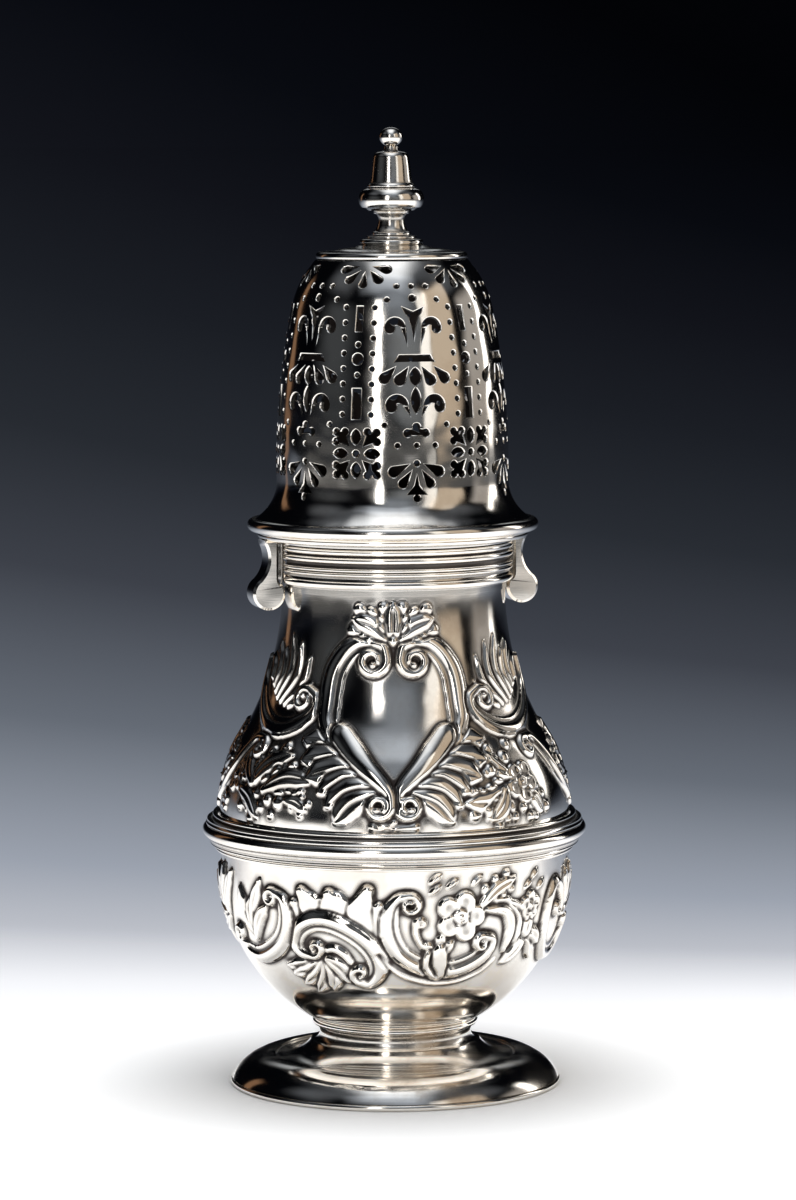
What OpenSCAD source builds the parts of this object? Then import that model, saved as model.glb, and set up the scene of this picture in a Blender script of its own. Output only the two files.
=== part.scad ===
// Silver sugar caster: a pear-shaped body on a spreading foot, closed by a pierced
// dome cover that two bayonet lugs hold on the neck.
// Millimetres. The axis is +Z, the foot stands on Z = 0 and the front faces -Y.

/* [Foot and stem] */
// Diameter of the foot over its rim wire
foot_d = 66.6; // [60:0.2:74]
// Height of the rim wire that the caster stands on
rim_wire_h = 1.3; // [0.9:0.1:1.8]
// Height of the top of the rolled band above the table
foot_roll_h = 6.1; // [5:0.1:7]
// Diameter of the step inside the rolled band
foot_step_d = 48.4; // [46:0.2:52]
// Height of the flat plate inside the step
foot_plate_h = 5.7; // [4.5:0.1:6]
// Height of the seat that the stem collar stands on
foot_h = 8.7; // [7.5:0.1:10.5]
// Diameter of the stem under the bowl
stem_d = 31.2; // [28:0.2:34]
// Height of the stem collar, from the foot to the bowl
collar_h = 4.2; // [3.4:0.1:6]
// Thickness of the wire round the top of the stem
stem_wire = 1.2; // [0.8:0.1:1.6]

/* [Body] */
// Diameter of the plain body at the girdle, without the chasing
body_d = 70; // [62:0.5:78]
// Straight wall of the bowl above its half sphere
bowl_wall_h = 7; // [5:0.5:10]
// Height of the pear shape, from the girdle to the neck
pear_h = 44.7; // [38:0.1:52]
// Radius of the full curve above the girdle
shoulder_r = 28.7; // [20:0.1:40]
// Diameter of the neck
neck_d = 44.8; // [40:0.2:48]
// Height of the straight neck
neck_h = 9.5; // [8.6:0.1:12]
// Thickness of the silver sheet of the body
sheet = 1.1; // [0.8:0.1:1.5]

/* [Mouldings] */
// Diameter over the girdle
girdle_d = 77; // [74:0.2:84]
// Height of the girdle above the joint of the body
girdle_above = 4; // [3.4:0.1:5]
// Height of the girdle below the joint of the body
girdle_below = 3.6; // [3:0.1:4.5]
// How far the rolls of the neck band stand out from the neck
band_proud = 1.65; // [1.4:0.05:2]
// Thickness of the wire that the lugs hook under
bayonet_wire_d = 1.5; // [1.2:0.1:1.8]

/* [Cover] */
// Diameter over the rolled edge of the cover
flange_d = 58.2; // [56:0.2:64]
// Thickness of the rolled edge
flange_h = 2.5; // [2:0.1:3]
// Thickness of the ring that bears on the neck
seat_h = 2; // [1.6:0.1:2.6]
// Height of the flare from the rolled edge to the wall of the dome
flare_h = 7.6; // [6:0.1:9]
// Diameter of the dome's wall
dome_d = 46.3; // [44:0.1:48]
// Height of the upright wall above the flare
upright_h = 3.5; // [2:0.1:5]
// Height of the wall that leans in to the shoulder
lean_h = 30.5; // [28:0.5:36]
// Diameter of the dome where the shoulder starts
shoulder_d = 40.2; // [38:0.1:42]
// Height of the shoulder, up to the cap plate
crown_h = 9.7; // [8:0.1:10.5]
// Thickness of the dome's sheet
dome_sheet = 1; // [0.8:0.1:1.3]
// Depth of the bezel below its seat
bezel_depth = 12; // [9:0.5:16]
// Thickness of the bezel
bezel_sheet = 0.8; // [0.6:0.1:1.1]
// Gap between pieces that slide or turn
fit = 0.3; // [0.2:0.05:0.4]

/* [Bayonet] */
// Direction of the right lug, from +X towards the back
lug_turn = 16; // [0:1:40]
// Width of a lug along the rim
lug_w = 6; // [4:0.1:8]
// Diameter of the round end of a lug
lug_d = 6.6; // [5.6:0.1:7.4]
// Length of a lug below its root
lug_l = 13.9; // [13.2:0.1:15]
// How far a lug reaches under the bayonet wire
hook = 1.05; // [0.7:0.05:1.15]
// Thickness of the waist of a lug
lug_waist = 2; // [1.6:0.1:2.6]

/* [Piercing] */
// Pairs of panels round the dome
panels = 6; // [4:1:6]
// Direction of the first lily panel, from the front towards the right
panel_turn = 12; // [0:1:30]
// Diameter of the small holes
dot_d = 1.1; // [0.8:0.05:1.3]
// Width of the slots
slot_w = 1.6; // [1:0.1:2]
// Radius of a lily's rolled leaf
lily_r = 2; // [1.6:0.05:2.1]
// Length of the drops below the lily
drop_l = 3.3; // [2.6:0.1:3.6]
// Height of the palmette
palmette_h = 8.6; // [7.4:0.1:9]
// Width of the quatrefoil square
quatrefoil_w = 10.2; // [8.6:0.1:10.6]

/* [Finial] */
// Height of the cap plate
cap_h = 3; // [2.4:0.1:4]
// Diameter of the finial's base
finial_base_d = 12.6; // [11:0.2:14]
// Height of the finial's spool
spool_h = 6.8; // [6:0.1:8]
// Diameter of the spool's waist
spool_waist_d = 5.2; // [4.4:0.1:6]
// Diameter of the knop under the bell
knop_d = 13; // [11.5:0.1:14]
// Height of the knop
knop_h = 4.4; // [3.8:0.1:5]
// Diameter of the bell at its lip
bell_d = 9.2; // [8.4:0.1:10]
// Height of the bell above the knop
bell_h = 8.2; // [7:0.1:9.5]
// Diameter of the ball
ball_d = 4.7; // [4:0.1:5.4]
// Height of the ball
ball_h = 3.8; // [3.4:0.1:4.4]
// Diameter of the peg inside the finial
peg_d = 1.6; // [1.2:0.1:2]

/* [Hidden] */
$fn = 96;
SILVER = "silver";
REACH = 200;
// Two curves that run into each other smoothly lap by this much, so that they cross
lap = 0.01;

// Foot: the roll and the hollow are arcs through their two ends, level at one of them
foot_r = foot_d / 2;
stem_r = stem_d / 2;
step_r = foot_step_d / 2;
foot_edge_r = foot_r - 0.35;
roll_r0 = step_r + 0.8;
hollow_r0 = step_r - 1.6;
hollow_r1 = stem_r + 1.4;
roll_arc = arc_radius(foot_edge_r - roll_r0, foot_roll_h - rim_wire_h);
hollow_arc = arc_radius(hollow_r0 - hollow_r1, foot_h - foot_plate_h);

// Heights of the body, from the foot up
bowl_r = body_d / 2;
bowl_z = foot_h + collar_h + leg(bowl_r, stem_r);
joint_z = bowl_z + bowl_wall_h;
stem_wire_z = foot_h + collar_h - 0.8 * stem_wire;
pear_z = joint_z + girdle_above;
neck_z = pear_z + pear_h;
seat_z = neck_z + neck_h;
neck_r = neck_d / 2;

// Pear shape: a full arc and a hollow arc that meet on the line between their centres
pear_in = bowl_r - neck_r;
pear_sum = arc_radius(pear_h, pear_in);
neck_arc = pear_sum - shoulder_r;
pear_sin = pear_h / pear_sum;

// Cover: heights from the seat up
girdle_r = girdle_d / 2;
band_r = neck_r + band_proud;
bezel_r = neck_r - sheet - fit;
flange_r = flange_d / 2;
flange_z = seat_z + seat_h;
edge_z = flange_z + flange_h;
edge_r = flange_r - 1.7;
wall_r = dome_d / 2;
flare_z = edge_z + flare_h;
flare_arc = arc_radius(flare_h, edge_r - wall_r);
lean_z = flare_z + upright_h;
shoulder_z = lean_z + lean_h;
lean_arc = arc_radius(lean_h, wall_r - shoulder_d / 2);
lean_sin = lean_h / lean_arc;
ball_r = shoulder_d / 2 / leg(1, lean_sin);
ball_cz = shoulder_z - ball_r * lean_sin;
crown_z = shoulder_z + crown_h;
crown_r = leg(ball_r, crown_z - ball_cz);
seat_ring_r = flange_r - 2;
seat_step = 0.7;
// Hair gap under the seat, so that the cover turns on the neck without biting
seat_gap = 0.02;

// Piercing: heights up the panels are drawn for this height of wall above the flare
layout_h = 34;
fan_up = (crown_z - flare_z - 0.7) * layout_h / (upright_h + lean_h);
function dome_radius(z) = z < lean_z ? wall_r
    : z < shoulder_z ? wall_r - lean_arc + leg(lean_arc, z - lean_z)
    : leg(ball_r, z - ball_cz);
function dome_lean(z) = z < lean_z ? 0
    : z < shoulder_z ? asin((z - lean_z) / lean_arc)
    : asin((z - ball_cz) / ball_r);

// Lug: a round end that hangs below the bayonet wire, on a waist outside the neck band
wire_z = seat_z - 7.2;
wire_r = neck_r + 0.1 + bayonet_wire_d;
lug_in = wire_r - hook;
lug_r = lug_d / 2;
lug_root_z = seat_z + seat_step;
lug_end_z = lug_root_z - lug_l + lug_r;
lug_waist_r = max(band_r, wire_r) + fit;
lug_neck_arc = 6;
notch_w = lug_w + 4 * fit;
notch_r = lug_in - fit;

// Finial: heights from the crown up
spool_z = crown_z + cap_h;
knop_z = spool_z + spool_h;
bell_z = knop_z + knop_h;
ball_z = bell_z + bell_h;
base_r = finial_base_d / 2;
bell_r = bell_d / 2;
knop_r = knop_d / 2;
peg_r = peg_d / 2;
peg_hole_r = peg_r + 0.05;
peg_foot = 1;
peg_in_ball = ball_h / 2;

// Radius of an arc that is upright or level at one end, with a run of w and a rise of h
function arc_radius(w, h) = (w * w + h * h) / (2 * h);
function leg(slope, side) = sqrt(slope * slope - side * side);
function on_ring(r, a) = [r * cos(a), r * sin(a)];

// Flat figures
module at(x, y, a = 0) translate([x, y]) rotate(a) children();
module band(r0, r1, z0, z1) translate([r0, z0]) square([r1 - r0, z1 - z0]);
module roll(r, z, d) translate([r - d / 2, z]) circle(d = d);
module disc(r, z, big_r) translate([r, z]) circle(big_r, $fn = 360);
module right_side() translate([0, -REACH]) square([REACH, 2 * REACH]);
module turned() rotate_extrude() intersection() { children(); right_side(); }
module mirrored() { children(); mirror([1, 0]) children(); }

// Filled outline of the foot above its rim wire, drawn in by a given wall
module foot_outline(wall) {
    intersection() {
        disc(roll_r0, foot_roll_h - roll_arc, roll_arc - wall);
        band(step_r - wall, foot_r, rim_wire_h, foot_h);
    }
    band(hollow_r1, step_r - wall, rim_wire_h, foot_plate_h - wall);
    difference() {
        band(0, hollow_r0, rim_wire_h, foot_h);
        disc(hollow_r0, foot_plate_h + hollow_arc - lap, hollow_arc + wall);
    }
}

// Foot, raised from sheet: rolled band, flat plate and the hollow up to the stem
module foot() color(SILVER) turned() difference() {
    foot_outline(0);
    foot_outline(sheet);
}

module foot_rim_wire() color(SILVER) turned() {
    band(foot_r - 1.7, foot_r - rim_wire_h / 2, 0, rim_wire_h);
    roll(foot_r, rim_wire_h / 2, rim_wire_h);
}

// Waisted collar whose top follows the bowl
module stem_collar() color(SILVER) turned() {
    waist = stem_wire_z - foot_h;
    waist_arc = 0.6 * waist;
    bore_r = stem_r - 1.2;
    difference() {
        band(bore_r, stem_r + 0.5, foot_h, stem_wire_z);
        disc(stem_r - 0.4 + waist_arc, foot_h + waist / 2, waist_arc);
    }
    difference() {
        band(bore_r, stem_r, stem_wire_z, foot_h + collar_h + stem_wire);
        disc(0, bowl_z, bowl_r);
    }
}

module stem_ring() color(SILVER) turned() difference() {
    union() {
        band(stem_r, stem_r + 0.5, stem_wire_z, stem_wire_z + stem_wire);
        roll(stem_r + 0.5 + stem_wire / 2, stem_wire_z + stem_wire / 2, stem_wire);
    }
    disc(0, bowl_z, bowl_r);
    band(0, stem_r, foot_h, bowl_z);
}

// Filled outline of the bowl, drawn in by a given wall
module bowl_outline(wall) {
    intersection() {
        disc(0, bowl_z, bowl_r - wall);
        band(0, bowl_r, 0, bowl_z);
    }
    band(0, bowl_r - wall, bowl_z, joint_z + wall);
}

module bowl() color(SILVER) turned() intersection() {
    difference() {
        bowl_outline(0);
        bowl_outline(sheet);
    }
    band(0, REACH, 0, joint_z);
}

// Drawn moulding: a stout roll between fillets and small beads
module girdle() color(SILVER) turned() {
    proud = girdle_r - bowl_r;
    low = joint_z - girdle_below;
    high = joint_z + girdle_above;
    roll_d = 3.4;
    bead_d = 1;
    difference() {
        union() {
            band(bowl_r, girdle_r - roll_d / 2, joint_z - 1.4, joint_z + 2);
            roll(girdle_r, joint_z + 0.3, roll_d);
            band(bowl_r, bowl_r + 0.62 * proud, joint_z + 1.7, high - 1.2);
            band(bowl_r, bowl_r + 0.56 * proud, low + 1.2, joint_z - 1.2);
        }
        disc(bowl_r + 0.56 * proud + 0.5, low + 1.6, 0.8);
    }
    band(bowl_r, bowl_r + 0.3 * proud, high - 1.2, high);
    roll(bowl_r + 0.3 * proud + bead_d / 2, high - 0.6, bead_d);
    band(bowl_r, bowl_r + 0.2 * proud, low, low + 1.2);
    roll(bowl_r + 0.2 * proud + bead_d / 2, low + 0.6, bead_d);
}

// Filled outline of the pear shape and neck, drawn in by a given wall
module pear_outline(wall) {
    full = shoulder_r - wall;
    low = joint_z - wall;
    band(0, bowl_r - wall, low, pear_z);
    intersection() {
        disc(bowl_r - shoulder_r, pear_z, full + lap);
        band(0, REACH, low, neck_z);
    }
    difference() {
        band(0, bowl_r, pear_z + full * pear_sin, neck_z);
        disc(neck_r + neck_arc, neck_z, neck_arc + wall + lap);
    }
    band(0, neck_r - wall, low, seat_z + wall);
}

module upper_body() color(SILVER) turned() intersection() {
    difference() {
        pear_outline(0);
        pear_outline(sheet);
    }
    band(0, REACH, joint_z, seat_z);
}

// Slots in the neck mouldings that let the hooks of the lugs pass
module notched() difference() {
    children();
    for (side = [0, 180]) rotate([0, 0, lug_turn + side])
        translate([notch_r, -notch_w / 2, neck_z - 1]) cube([REACH, notch_w, neck_h + 2]);
}

module neck_band() color(SILVER) notched() turned() {
    roll_d = 1.3;
    reed_d = 0.7;
    band(neck_r, band_r - 0.6 * roll_d, wire_z + bayonet_wire_d / 2, seat_z);
    roll(band_r, seat_z - roll_d / 2, roll_d);
    roll(band_r, seat_z - 1.8 * roll_d, roll_d);
    for (row = [0:1]) roll(band_r - 0.1, seat_z - 4.3 - 0.8 * row, reed_d);
}

module bayonet_wire() color(SILVER) notched() turned() {
    half = bayonet_wire_d / 2;
    band(neck_r, wire_r - half, wire_z - half, wire_z + half);
    roll(wire_r, wire_z, bayonet_wire_d);
    band(neck_r, neck_r + 0.25, neck_z, wire_z - half);
}

// Plain sleeve of the cover that slides into the neck
module cover_bezel() color(SILVER) turned()
    band(bezel_r - bezel_sheet, bezel_r, seat_z - bezel_depth, flange_z + 0.6);

module seat_ring() color(SILVER) turned() {
    lip = (seat_h - seat_step) / 2;
    band(bezel_r + fit, band_r, seat_z + seat_gap, flange_z);
    band(band_r, seat_ring_r - lip, lug_root_z, flange_z);
    roll(seat_ring_r, lug_root_z + lip, 2 * lip);
}

module cover_flange() color(SILVER) turned() {
    band(edge_r - 2.5, flange_r - flange_h / 2, flange_z, edge_z);
    roll(flange_r, flange_z + flange_h / 2, flange_h);
}

// Filled outline of the dome: flare, upright wall, leaning wall and round shoulder
module dome_outline() {
    difference() {
        band(0, edge_r, edge_z, flare_z);
        disc(wall_r + flare_arc, flare_z, flare_arc + lap);
    }
    band(0, wall_r, edge_z, lean_z);
    intersection() {
        disc(wall_r - lean_arc, lean_z, lean_arc + lap);
        band(0, REACH, edge_z, shoulder_z);
    }
    intersection() {
        disc(0, ball_cz, ball_r + lap);
        band(0, REACH, edge_z, crown_z);
    }
}

// Its hollow, where the leaning wall is left in two straight courses
module dome_hollow() {
    course_z = lean_z + lean_h / 2;
    inner_r = wall_r - dome_sheet;
    inner_ball_r = ball_r - dome_sheet;
    difference() {
        band(0, edge_r, edge_z - dome_sheet, flare_z);
        disc(wall_r + flare_arc, flare_z, flare_arc + dome_sheet + lap);
    }
    polygon([[0, edge_z], [inner_r, edge_z], [inner_r, lean_z], [dome_radius(course_z) - dome_sheet, course_z],
             [leg(inner_ball_r, shoulder_z - ball_cz), shoulder_z], [0, shoulder_z]]);
    intersection() {
        disc(0, ball_cz, inner_ball_r + lap);
        band(0, REACH, edge_z, crown_z - dome_sheet);
    }
}

module dome_shell() turned() difference() {
    dome_outline();
    dome_hollow();
}

// Pointed oval, its tips on the y axis
module leaf(l, w) {
    r = arc_radius(l / 2, w / 2);
    intersection_for (side = [-1, 1]) translate([side * (r - w / 2), 0]) circle(r);
}

// Drop with its tip at the origin and its round end down
module drop(l, d) {
    end = l - d / 2;
    tilt = asin(d / 2 / end);
    at(0, -end) circle(d = d);
    polygon([[0, 0], on_ring(leg(end, d / 2), -90 - tilt), [0, -end], on_ring(leg(end, d / 2), -90 + tilt)]);
}

// Leaf of a lily that rolls outward to the right and runs down to a tail
module curl(r, tail) {
    difference() {
        union() {
            intersection() {
                circle(r);
                at(-2 * r, 0) square([4 * r, r]);
            }
            polygon([[-r, 0], r * tail, [0, 0]]);
        }
        at(-0.12 * r, -0.74 * r) circle(0.6 * r);
    }
    at(0.46 * r, 0) circle(0.5 * r);
}

// Split spear of the upper lily
module split_spear(w, l) difference() {
    polygon([[-w / 2, 0], [0, -0.14 * l], [w / 2, 0], [0.11 * w, -0.55 * l], [0, -l], [-0.11 * w, -0.55 * l]]);
    for (side = [-1, 1]) at(side * 0.62 * w, -0.46 * l) circle(0.46 * w);
}

module trefoil(r) {
    for (lobe = [[-1.9, -0.5], [0, 0.75], [1.9, -0.5]]) at(lobe.x * r, lobe.y * r) circle(r);
    at(-1.5 * r, -1.1 * r) square([3 * r, 1.5 * r]);
}

// Corner of the quatrefoil square, its three lobes away from the origin
module corner_leaf(s) {
    for (lobe = [[0.3, 0.82], [0.8, 0.8], [0.82, 0.3]]) at(lobe.x * s, lobe.y * s) circle(0.25 * s);
    polygon([[0, 0], [0.9 * s, 0.3 * s], [0.8 * s, 0.8 * s], [0.3 * s, 0.9 * s]]);
}

module quatrefoil(w) {
    circle(d = 0.17 * w);
    for (quarter = [0:90:270]) rotate(quarter) {
        at(0, 0.32 * w) leaf(0.33 * w, 0.21 * w);
        at(0.12 * w, 0.12 * w) corner_leaf(0.36 * w);
    }
}

// Five drops spread from a small hole, with a three-lobed one in the middle
module palmette(h) {
    circle(d = 0.18 * h);
    mirrored() {
        at(0.13 * h, 0, 62) drop(0.52 * h, 0.24 * h);
        at(0.08 * h, -0.13 * h, 33) drop(0.47 * h, 0.21 * h);
    }
    at(0, -0.2 * h) polygon([[0, 0], [0.07 * h, -0.3 * h], [0.25 * h, -0.52 * h],
                             [-0.25 * h, -0.52 * h], [-0.07 * h, -0.3 * h]]);
    at(0, -0.79 * h) circle(d = 0.2 * h);
}

// Half flower that hangs from under the cap plate
module crown_fan() for (place = [-2:2]) rotate(38 * place) at(0, -1.2) drop(3.1, 1.5 - 0.3 * (2 - abs(place)));

// Cuts a figure square through the dome's sheet, a given way round the wall and up it
module pierce(turn, way, up) {
    z = flare_z + up * (upright_h + lean_h) / layout_h;
    r = dome_radius(z);
    rotate([0, 0, turn + way * 180 / PI / r]) translate([0, -r, z]) rotate([90 - dome_lean(z), 0, 0])
        linear_extrude(4 * dome_sheet, center = true) children();
}

module dot(turn, way, up, d = dot_d) pierce(turn, way, up) circle(d = d, $fn = 24);

// Wide panel: two lilies, a row of drops, a trefoil and a palmette
module lily_panel(turn) {
    for (way = [-2.9, 0, 2.9]) dot(turn, way, 39);
    dot(turn, 0, 36.7, 1.4 * dot_d);
    for (side = [-1, 1]) {
        dot(turn, 5 * side, 36.4);
        dot(turn, 6.3 * side, 12.1);
    }
    for (way = [-3.8, 0, 3.8]) dot(turn, way, 8.1);
    pierce(turn, 0, 35.2) split_spear(4.6, 6);
    pierce(turn, 0, 31) mirrored() at(1.75 * lily_r, 0) curl(lily_r, [-0.75, -1.05]);
    pierce(turn, 0, 24.9) square([6.8, 0.9], center = true);
    for (place = [-2:2]) pierce(turn, 2.5 * place, 23.3 - 0.2 * abs(place)) rotate(9 * place) drop(drop_l, 1.9);
    pierce(turn, 0, 16.9) leaf(4.8, 1.9);
    pierce(turn, 0, 15.8) mirrored() at(1.7 * lily_r, 0) curl(1.08 * lily_r, [-1.15, -0.9]);
    pierce(turn, 0, 11.2) trefoil(0.8);
    pierce(turn, 0, 4.6) palmette(palmette_h);
}

// Narrow panel: two slots and rows of holes over a quatrefoil square
module slot_panel(turn) {
    pierce(turn, 0, 32.7) square([0.9 * slot_w, 5.1], center = true);
    pierce(turn, 0, 16.2) square([1.2 * slot_w, 6], center = true);
    dot(turn, 0, 27.7);
    dot(turn, 0, 24.9, 2 * dot_d);
    dot(turn, 0, 21.8);
    for (side = [-1, 1], row = [0:7]) dot(turn, 2.95 * side, 34.9 - 2.97 * row);
    pierce(turn, 0, 6.5) quatrefoil(quatrefoil_w);
    pierce(turn, 0, fan_up) crown_fan();
}

// The dome, pierced all round by the two panels in turn
module cover_dome() color(SILVER) difference() {
    dome_shell();
    for (panel = [0:panels - 1]) {
        lily_panel(panel_turn + panel * 360 / panels);
        slot_panel(panel_turn + (panel + 0.5) * 360 / panels);
    }
    translate([0, 0, crown_z - 2 * dome_sheet]) cylinder(r = peg_hole_r, h = 4 * dome_sheet);
}

// Side view of a lug: a round end and a waist that spreads to its root, cut clear of the wire
module lug_outline() difference() {
    union() {
        at(lug_in + lug_r, lug_end_z) circle(lug_r);
        difference() {
            band(lug_waist_r, seat_ring_r, lug_end_z, lug_root_z);
            disc(lug_waist_r + lug_waist + lug_neck_arc, lug_root_z - 3.6, lug_neck_arc);
        }
    }
    at(wire_r - bayonet_wire_d / 2, wire_z) circle(bayonet_wire_d / 2 + fit);
    band(0, lug_waist_r, wire_z, seat_z + seat_h);
}

module lug(turn) color(SILVER) rotate([90, 0, turn]) linear_extrude(lug_w, center = true) lug_outline();

module bayonet_lug_left() lug(lug_turn + 180);

module bayonet_lug_right() lug(lug_turn);

// Turned disc with a rounded edge, a step and a rise to the finial
module cap_plate() color(SILVER) turned() {
    edge = 1.1;
    cap_r = crown_r - 0.15;
    step_in = 0.72 * cap_r;
    band(peg_hole_r, cap_r - edge / 2, crown_z, crown_z + edge);
    roll(cap_r, crown_z + edge / 2, edge);
    polygon([[peg_hole_r, crown_z + edge], [cap_r - edge, crown_z + edge], [step_in, crown_z + edge + 0.6],
             [step_in - 0.3, crown_z + edge + 0.85], [base_r, crown_z + cap_h], [peg_hole_r, crown_z + cap_h]]);
}

// Ringed base and waist of the finial
module finial_spool() color(SILVER) turned() difference() {
    neck = spool_waist_d / 2;
    top = spool_z + spool_h;
    union() {
        band(0, base_r - 0.55, spool_z, spool_z + 1.1);
        roll(base_r, spool_z + 0.55, 1.1);
        band(0, 0.8 * base_r, spool_z + 1.1, spool_z + 1.7);
        roll(0.66 * base_r, spool_z + 2.1, 0.8);
        band(0, 0.66 * base_r - 0.4, spool_z + 1.7, spool_z + 2.5);
        difference() {
            band(0, 0.6 * base_r, spool_z + 2.5, top - 0.8);
            disc(neck + 0.55 * spool_h, spool_z + 0.72 * spool_h, 0.55 * spool_h);
        }
        band(0, 0.58 * base_r, top - 0.8, top);
    }
    band(0, peg_hole_r, spool_z - 1, top + 1);
}

// Knop with a bell standing on it
module finial_bell() color(SILVER) turned() difference() {
    lip = 1;
    neck = 0.6 * ball_d / 2;
    crown_arc = 0.55 * bell_r;
    bell_top = ball_z - 0.8;
    bell_lean = 0.8;
    union() {
        intersection() {
            disc(knop_r - 0.62 * knop_h, knop_z + knop_h / 2, 0.62 * knop_h);
            band(0, knop_r, knop_z, bell_z);
        }
        band(0, 0.78 * knop_r, knop_z, bell_z);
        band(0, bell_r, bell_z, bell_z + lip);
        polygon([[0, bell_z + lip], [bell_r - 0.3, bell_z + lip], [bell_r - bell_lean, bell_top - crown_arc],
                 [0, bell_top - crown_arc]]);
        intersection() {
            disc(bell_r - bell_lean - crown_arc, bell_top - crown_arc, crown_arc);
            band(0, bell_r, bell_top - crown_arc, bell_top);
        }
        band(0, bell_r - bell_lean - crown_arc, bell_top - crown_arc, bell_top);
        band(0, neck, bell_top, ball_z);
    }
    band(0, peg_hole_r, knop_z - 1, ball_z + 1);
}

// Slightly flattened ball, cut flat where it sits
module finial_ball() color(SILVER) turned() {
    steps = 24;
    middle = ball_z + ball_h / 2;
    difference() {
        polygon([for (k = [0:steps]) [ball_d / 2 * cos(180 * k / steps - 90),
                                      middle + ball_h / 2 * sin(180 * k / steps - 90)]]);
        band(0, peg_hole_r, ball_z - 1, ball_z + peg_in_ball);
    }
}

module finial_peg() color(SILVER)
    translate([0, 0, crown_z - dome_sheet - peg_foot])
        cylinder(r = peg_r, h = ball_z + peg_in_ball - crown_z + dome_sheet + peg_foot);

foot();
foot_rim_wire();
stem_collar();
stem_ring();
bowl();
girdle();
upper_body();
neck_band();
bayonet_wire();
cover_bezel();
seat_ring();
cover_flange();
cover_dome();
bayonet_lug_left();
bayonet_lug_right();
cap_plate();
finial_spool();
finial_bell();
finial_ball();
finial_peg();
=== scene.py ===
import math

import bpy
import numpy as np
from mathutils.geometry import delaunay_2d_cdt
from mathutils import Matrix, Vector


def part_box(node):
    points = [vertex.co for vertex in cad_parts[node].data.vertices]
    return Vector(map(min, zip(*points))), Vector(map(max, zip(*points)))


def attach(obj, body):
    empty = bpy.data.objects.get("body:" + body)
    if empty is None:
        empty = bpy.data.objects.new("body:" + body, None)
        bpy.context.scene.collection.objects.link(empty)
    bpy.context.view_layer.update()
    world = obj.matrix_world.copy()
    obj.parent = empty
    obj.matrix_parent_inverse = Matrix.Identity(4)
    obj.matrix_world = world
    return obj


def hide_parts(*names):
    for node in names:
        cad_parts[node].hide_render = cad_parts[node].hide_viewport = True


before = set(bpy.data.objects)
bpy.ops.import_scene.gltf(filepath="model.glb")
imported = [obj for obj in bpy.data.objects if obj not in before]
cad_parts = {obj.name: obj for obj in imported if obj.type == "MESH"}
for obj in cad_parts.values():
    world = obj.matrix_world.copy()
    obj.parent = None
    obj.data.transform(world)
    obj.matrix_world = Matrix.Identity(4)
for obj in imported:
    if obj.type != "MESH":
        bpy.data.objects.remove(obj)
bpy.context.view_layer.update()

# Foot: raised from sheet silver, with a rolled band, a flat plate and a hollow that sweeps up to the
# stem. A half-round wire is soldered round its edge, and the caster stands on that. The foot and the
# stem keep more of the brown film than the rest.
mm = 0.001
clean_silver = (0.97, 0.935, 0.88, 1)
brown_film = (0.72, 0.63, 0.53, 1)
# the colour of dark dirt in recesses, which also stands in for the shade there: painted shade
dirt_and_shade = (0.055, 0.045, 0.042, 1)


def lowest(node):
    """The height of a solid's lower edge in the frame, in mm."""
    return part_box(node)[0][2] / mm


def highest(node):
    """The height of a solid's upper edge in the frame, in mm."""
    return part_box(node)[1][2] / mm


def arc(r, z, radius, start, end, steps=14):
    """Points of an arc in the outline of a turned piece, about a centre, between two angles in degrees."""
    a = np.radians(np.linspace(start, end, steps))
    return list(zip(r + radius * np.cos(a), z + radius * np.sin(a)))


def add_node(tree, kind, inputs=None, **settings):
    """A shader node with its settings. Each input is given a value or the output of another node."""
    node = tree.nodes.new("ShaderNode" + kind)
    for key, value in settings.items():
        setattr(node, key, value)
    for name, value in (inputs or {}).items():
        if isinstance(value, bpy.types.NodeSocket):
            tree.links.new(value, node.inputs[name])
        else:
            node.inputs[name].default_value = value
    return node


def maths(tree, operation, *values):
    """The output of a sum on two or three values."""
    return add_node(tree, "Math", dict(enumerate(values)), operation=operation).outputs["Value"]


def open_group(name, inputs, outputs):
    """A shader node group with named inputs and their usual values, and named outputs and their kinds."""
    group = bpy.data.node_groups.new(name, "ShaderNodeTree")
    for socket, value in inputs.items():
        opened = group.interface.new_socket(socket, in_out="INPUT", socket_type="NodeSocketFloat")
        opened.default_value = value
    for socket, kind in outputs.items():
        group.interface.new_socket(socket, in_out="OUTPUT", socket_type="NodeSocket" + kind)
    return group, group.nodes.new("NodeGroupInput").outputs, group.nodes.new("NodeGroupOutput").inputs


def film_group():
    """The thin brown film that silver takes: clouds on open surfaces, and dark dirt and painted shade in the
    recesses.
    """
    group, given, put = open_group("tarnish_and_recess_shade", {"Recess": 0.0, "Film": 0.3, "Polish": 0.07},
                                   {"Color": "Color", "Roughness": "Float"})
    where = add_node(group, "TexCoord").outputs["Object"]
    cloud = add_node(group, "TexNoise", {"Vector": where, "Scale": 85, "Detail": 5, "Roughness": 0.62})
    patch = add_node(group, "MapRange", {"Value": cloud.outputs["Fac"], "From Min": 0.42, "From Max": 0.72},
                     interpolation_type="SMOOTHSTEP")
    film = maths(group, "MULTIPLY", patch.outputs["Result"], given["Film"])
    worn = add_node(group, "Mix", data_type="RGBA",
                    inputs={"Factor": film, "A": clean_silver, "B": brown_film})
    # the recesses are darkened towards the dirt colour: real dirt and painted shade
    soiled_and_shaded = add_node(group, "Mix", data_type="RGBA",
                      inputs={"Factor": given["Recess"], "A": worn.outputs["Result"], "B": dirt_and_shade})
    film_dulls, recess_dulls = 0.16, 0.3
    dull = maths(group, "MULTIPLY_ADD", film, film_dulls, given["Polish"])
    rough = maths(group, "MULTIPLY_ADD", given["Recess"], recess_dulls, dull)
    group.links.new(soiled_and_shaded.outputs["Result"], put["Color"])
    group.links.new(rough, put["Roughness"])
    return group


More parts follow.
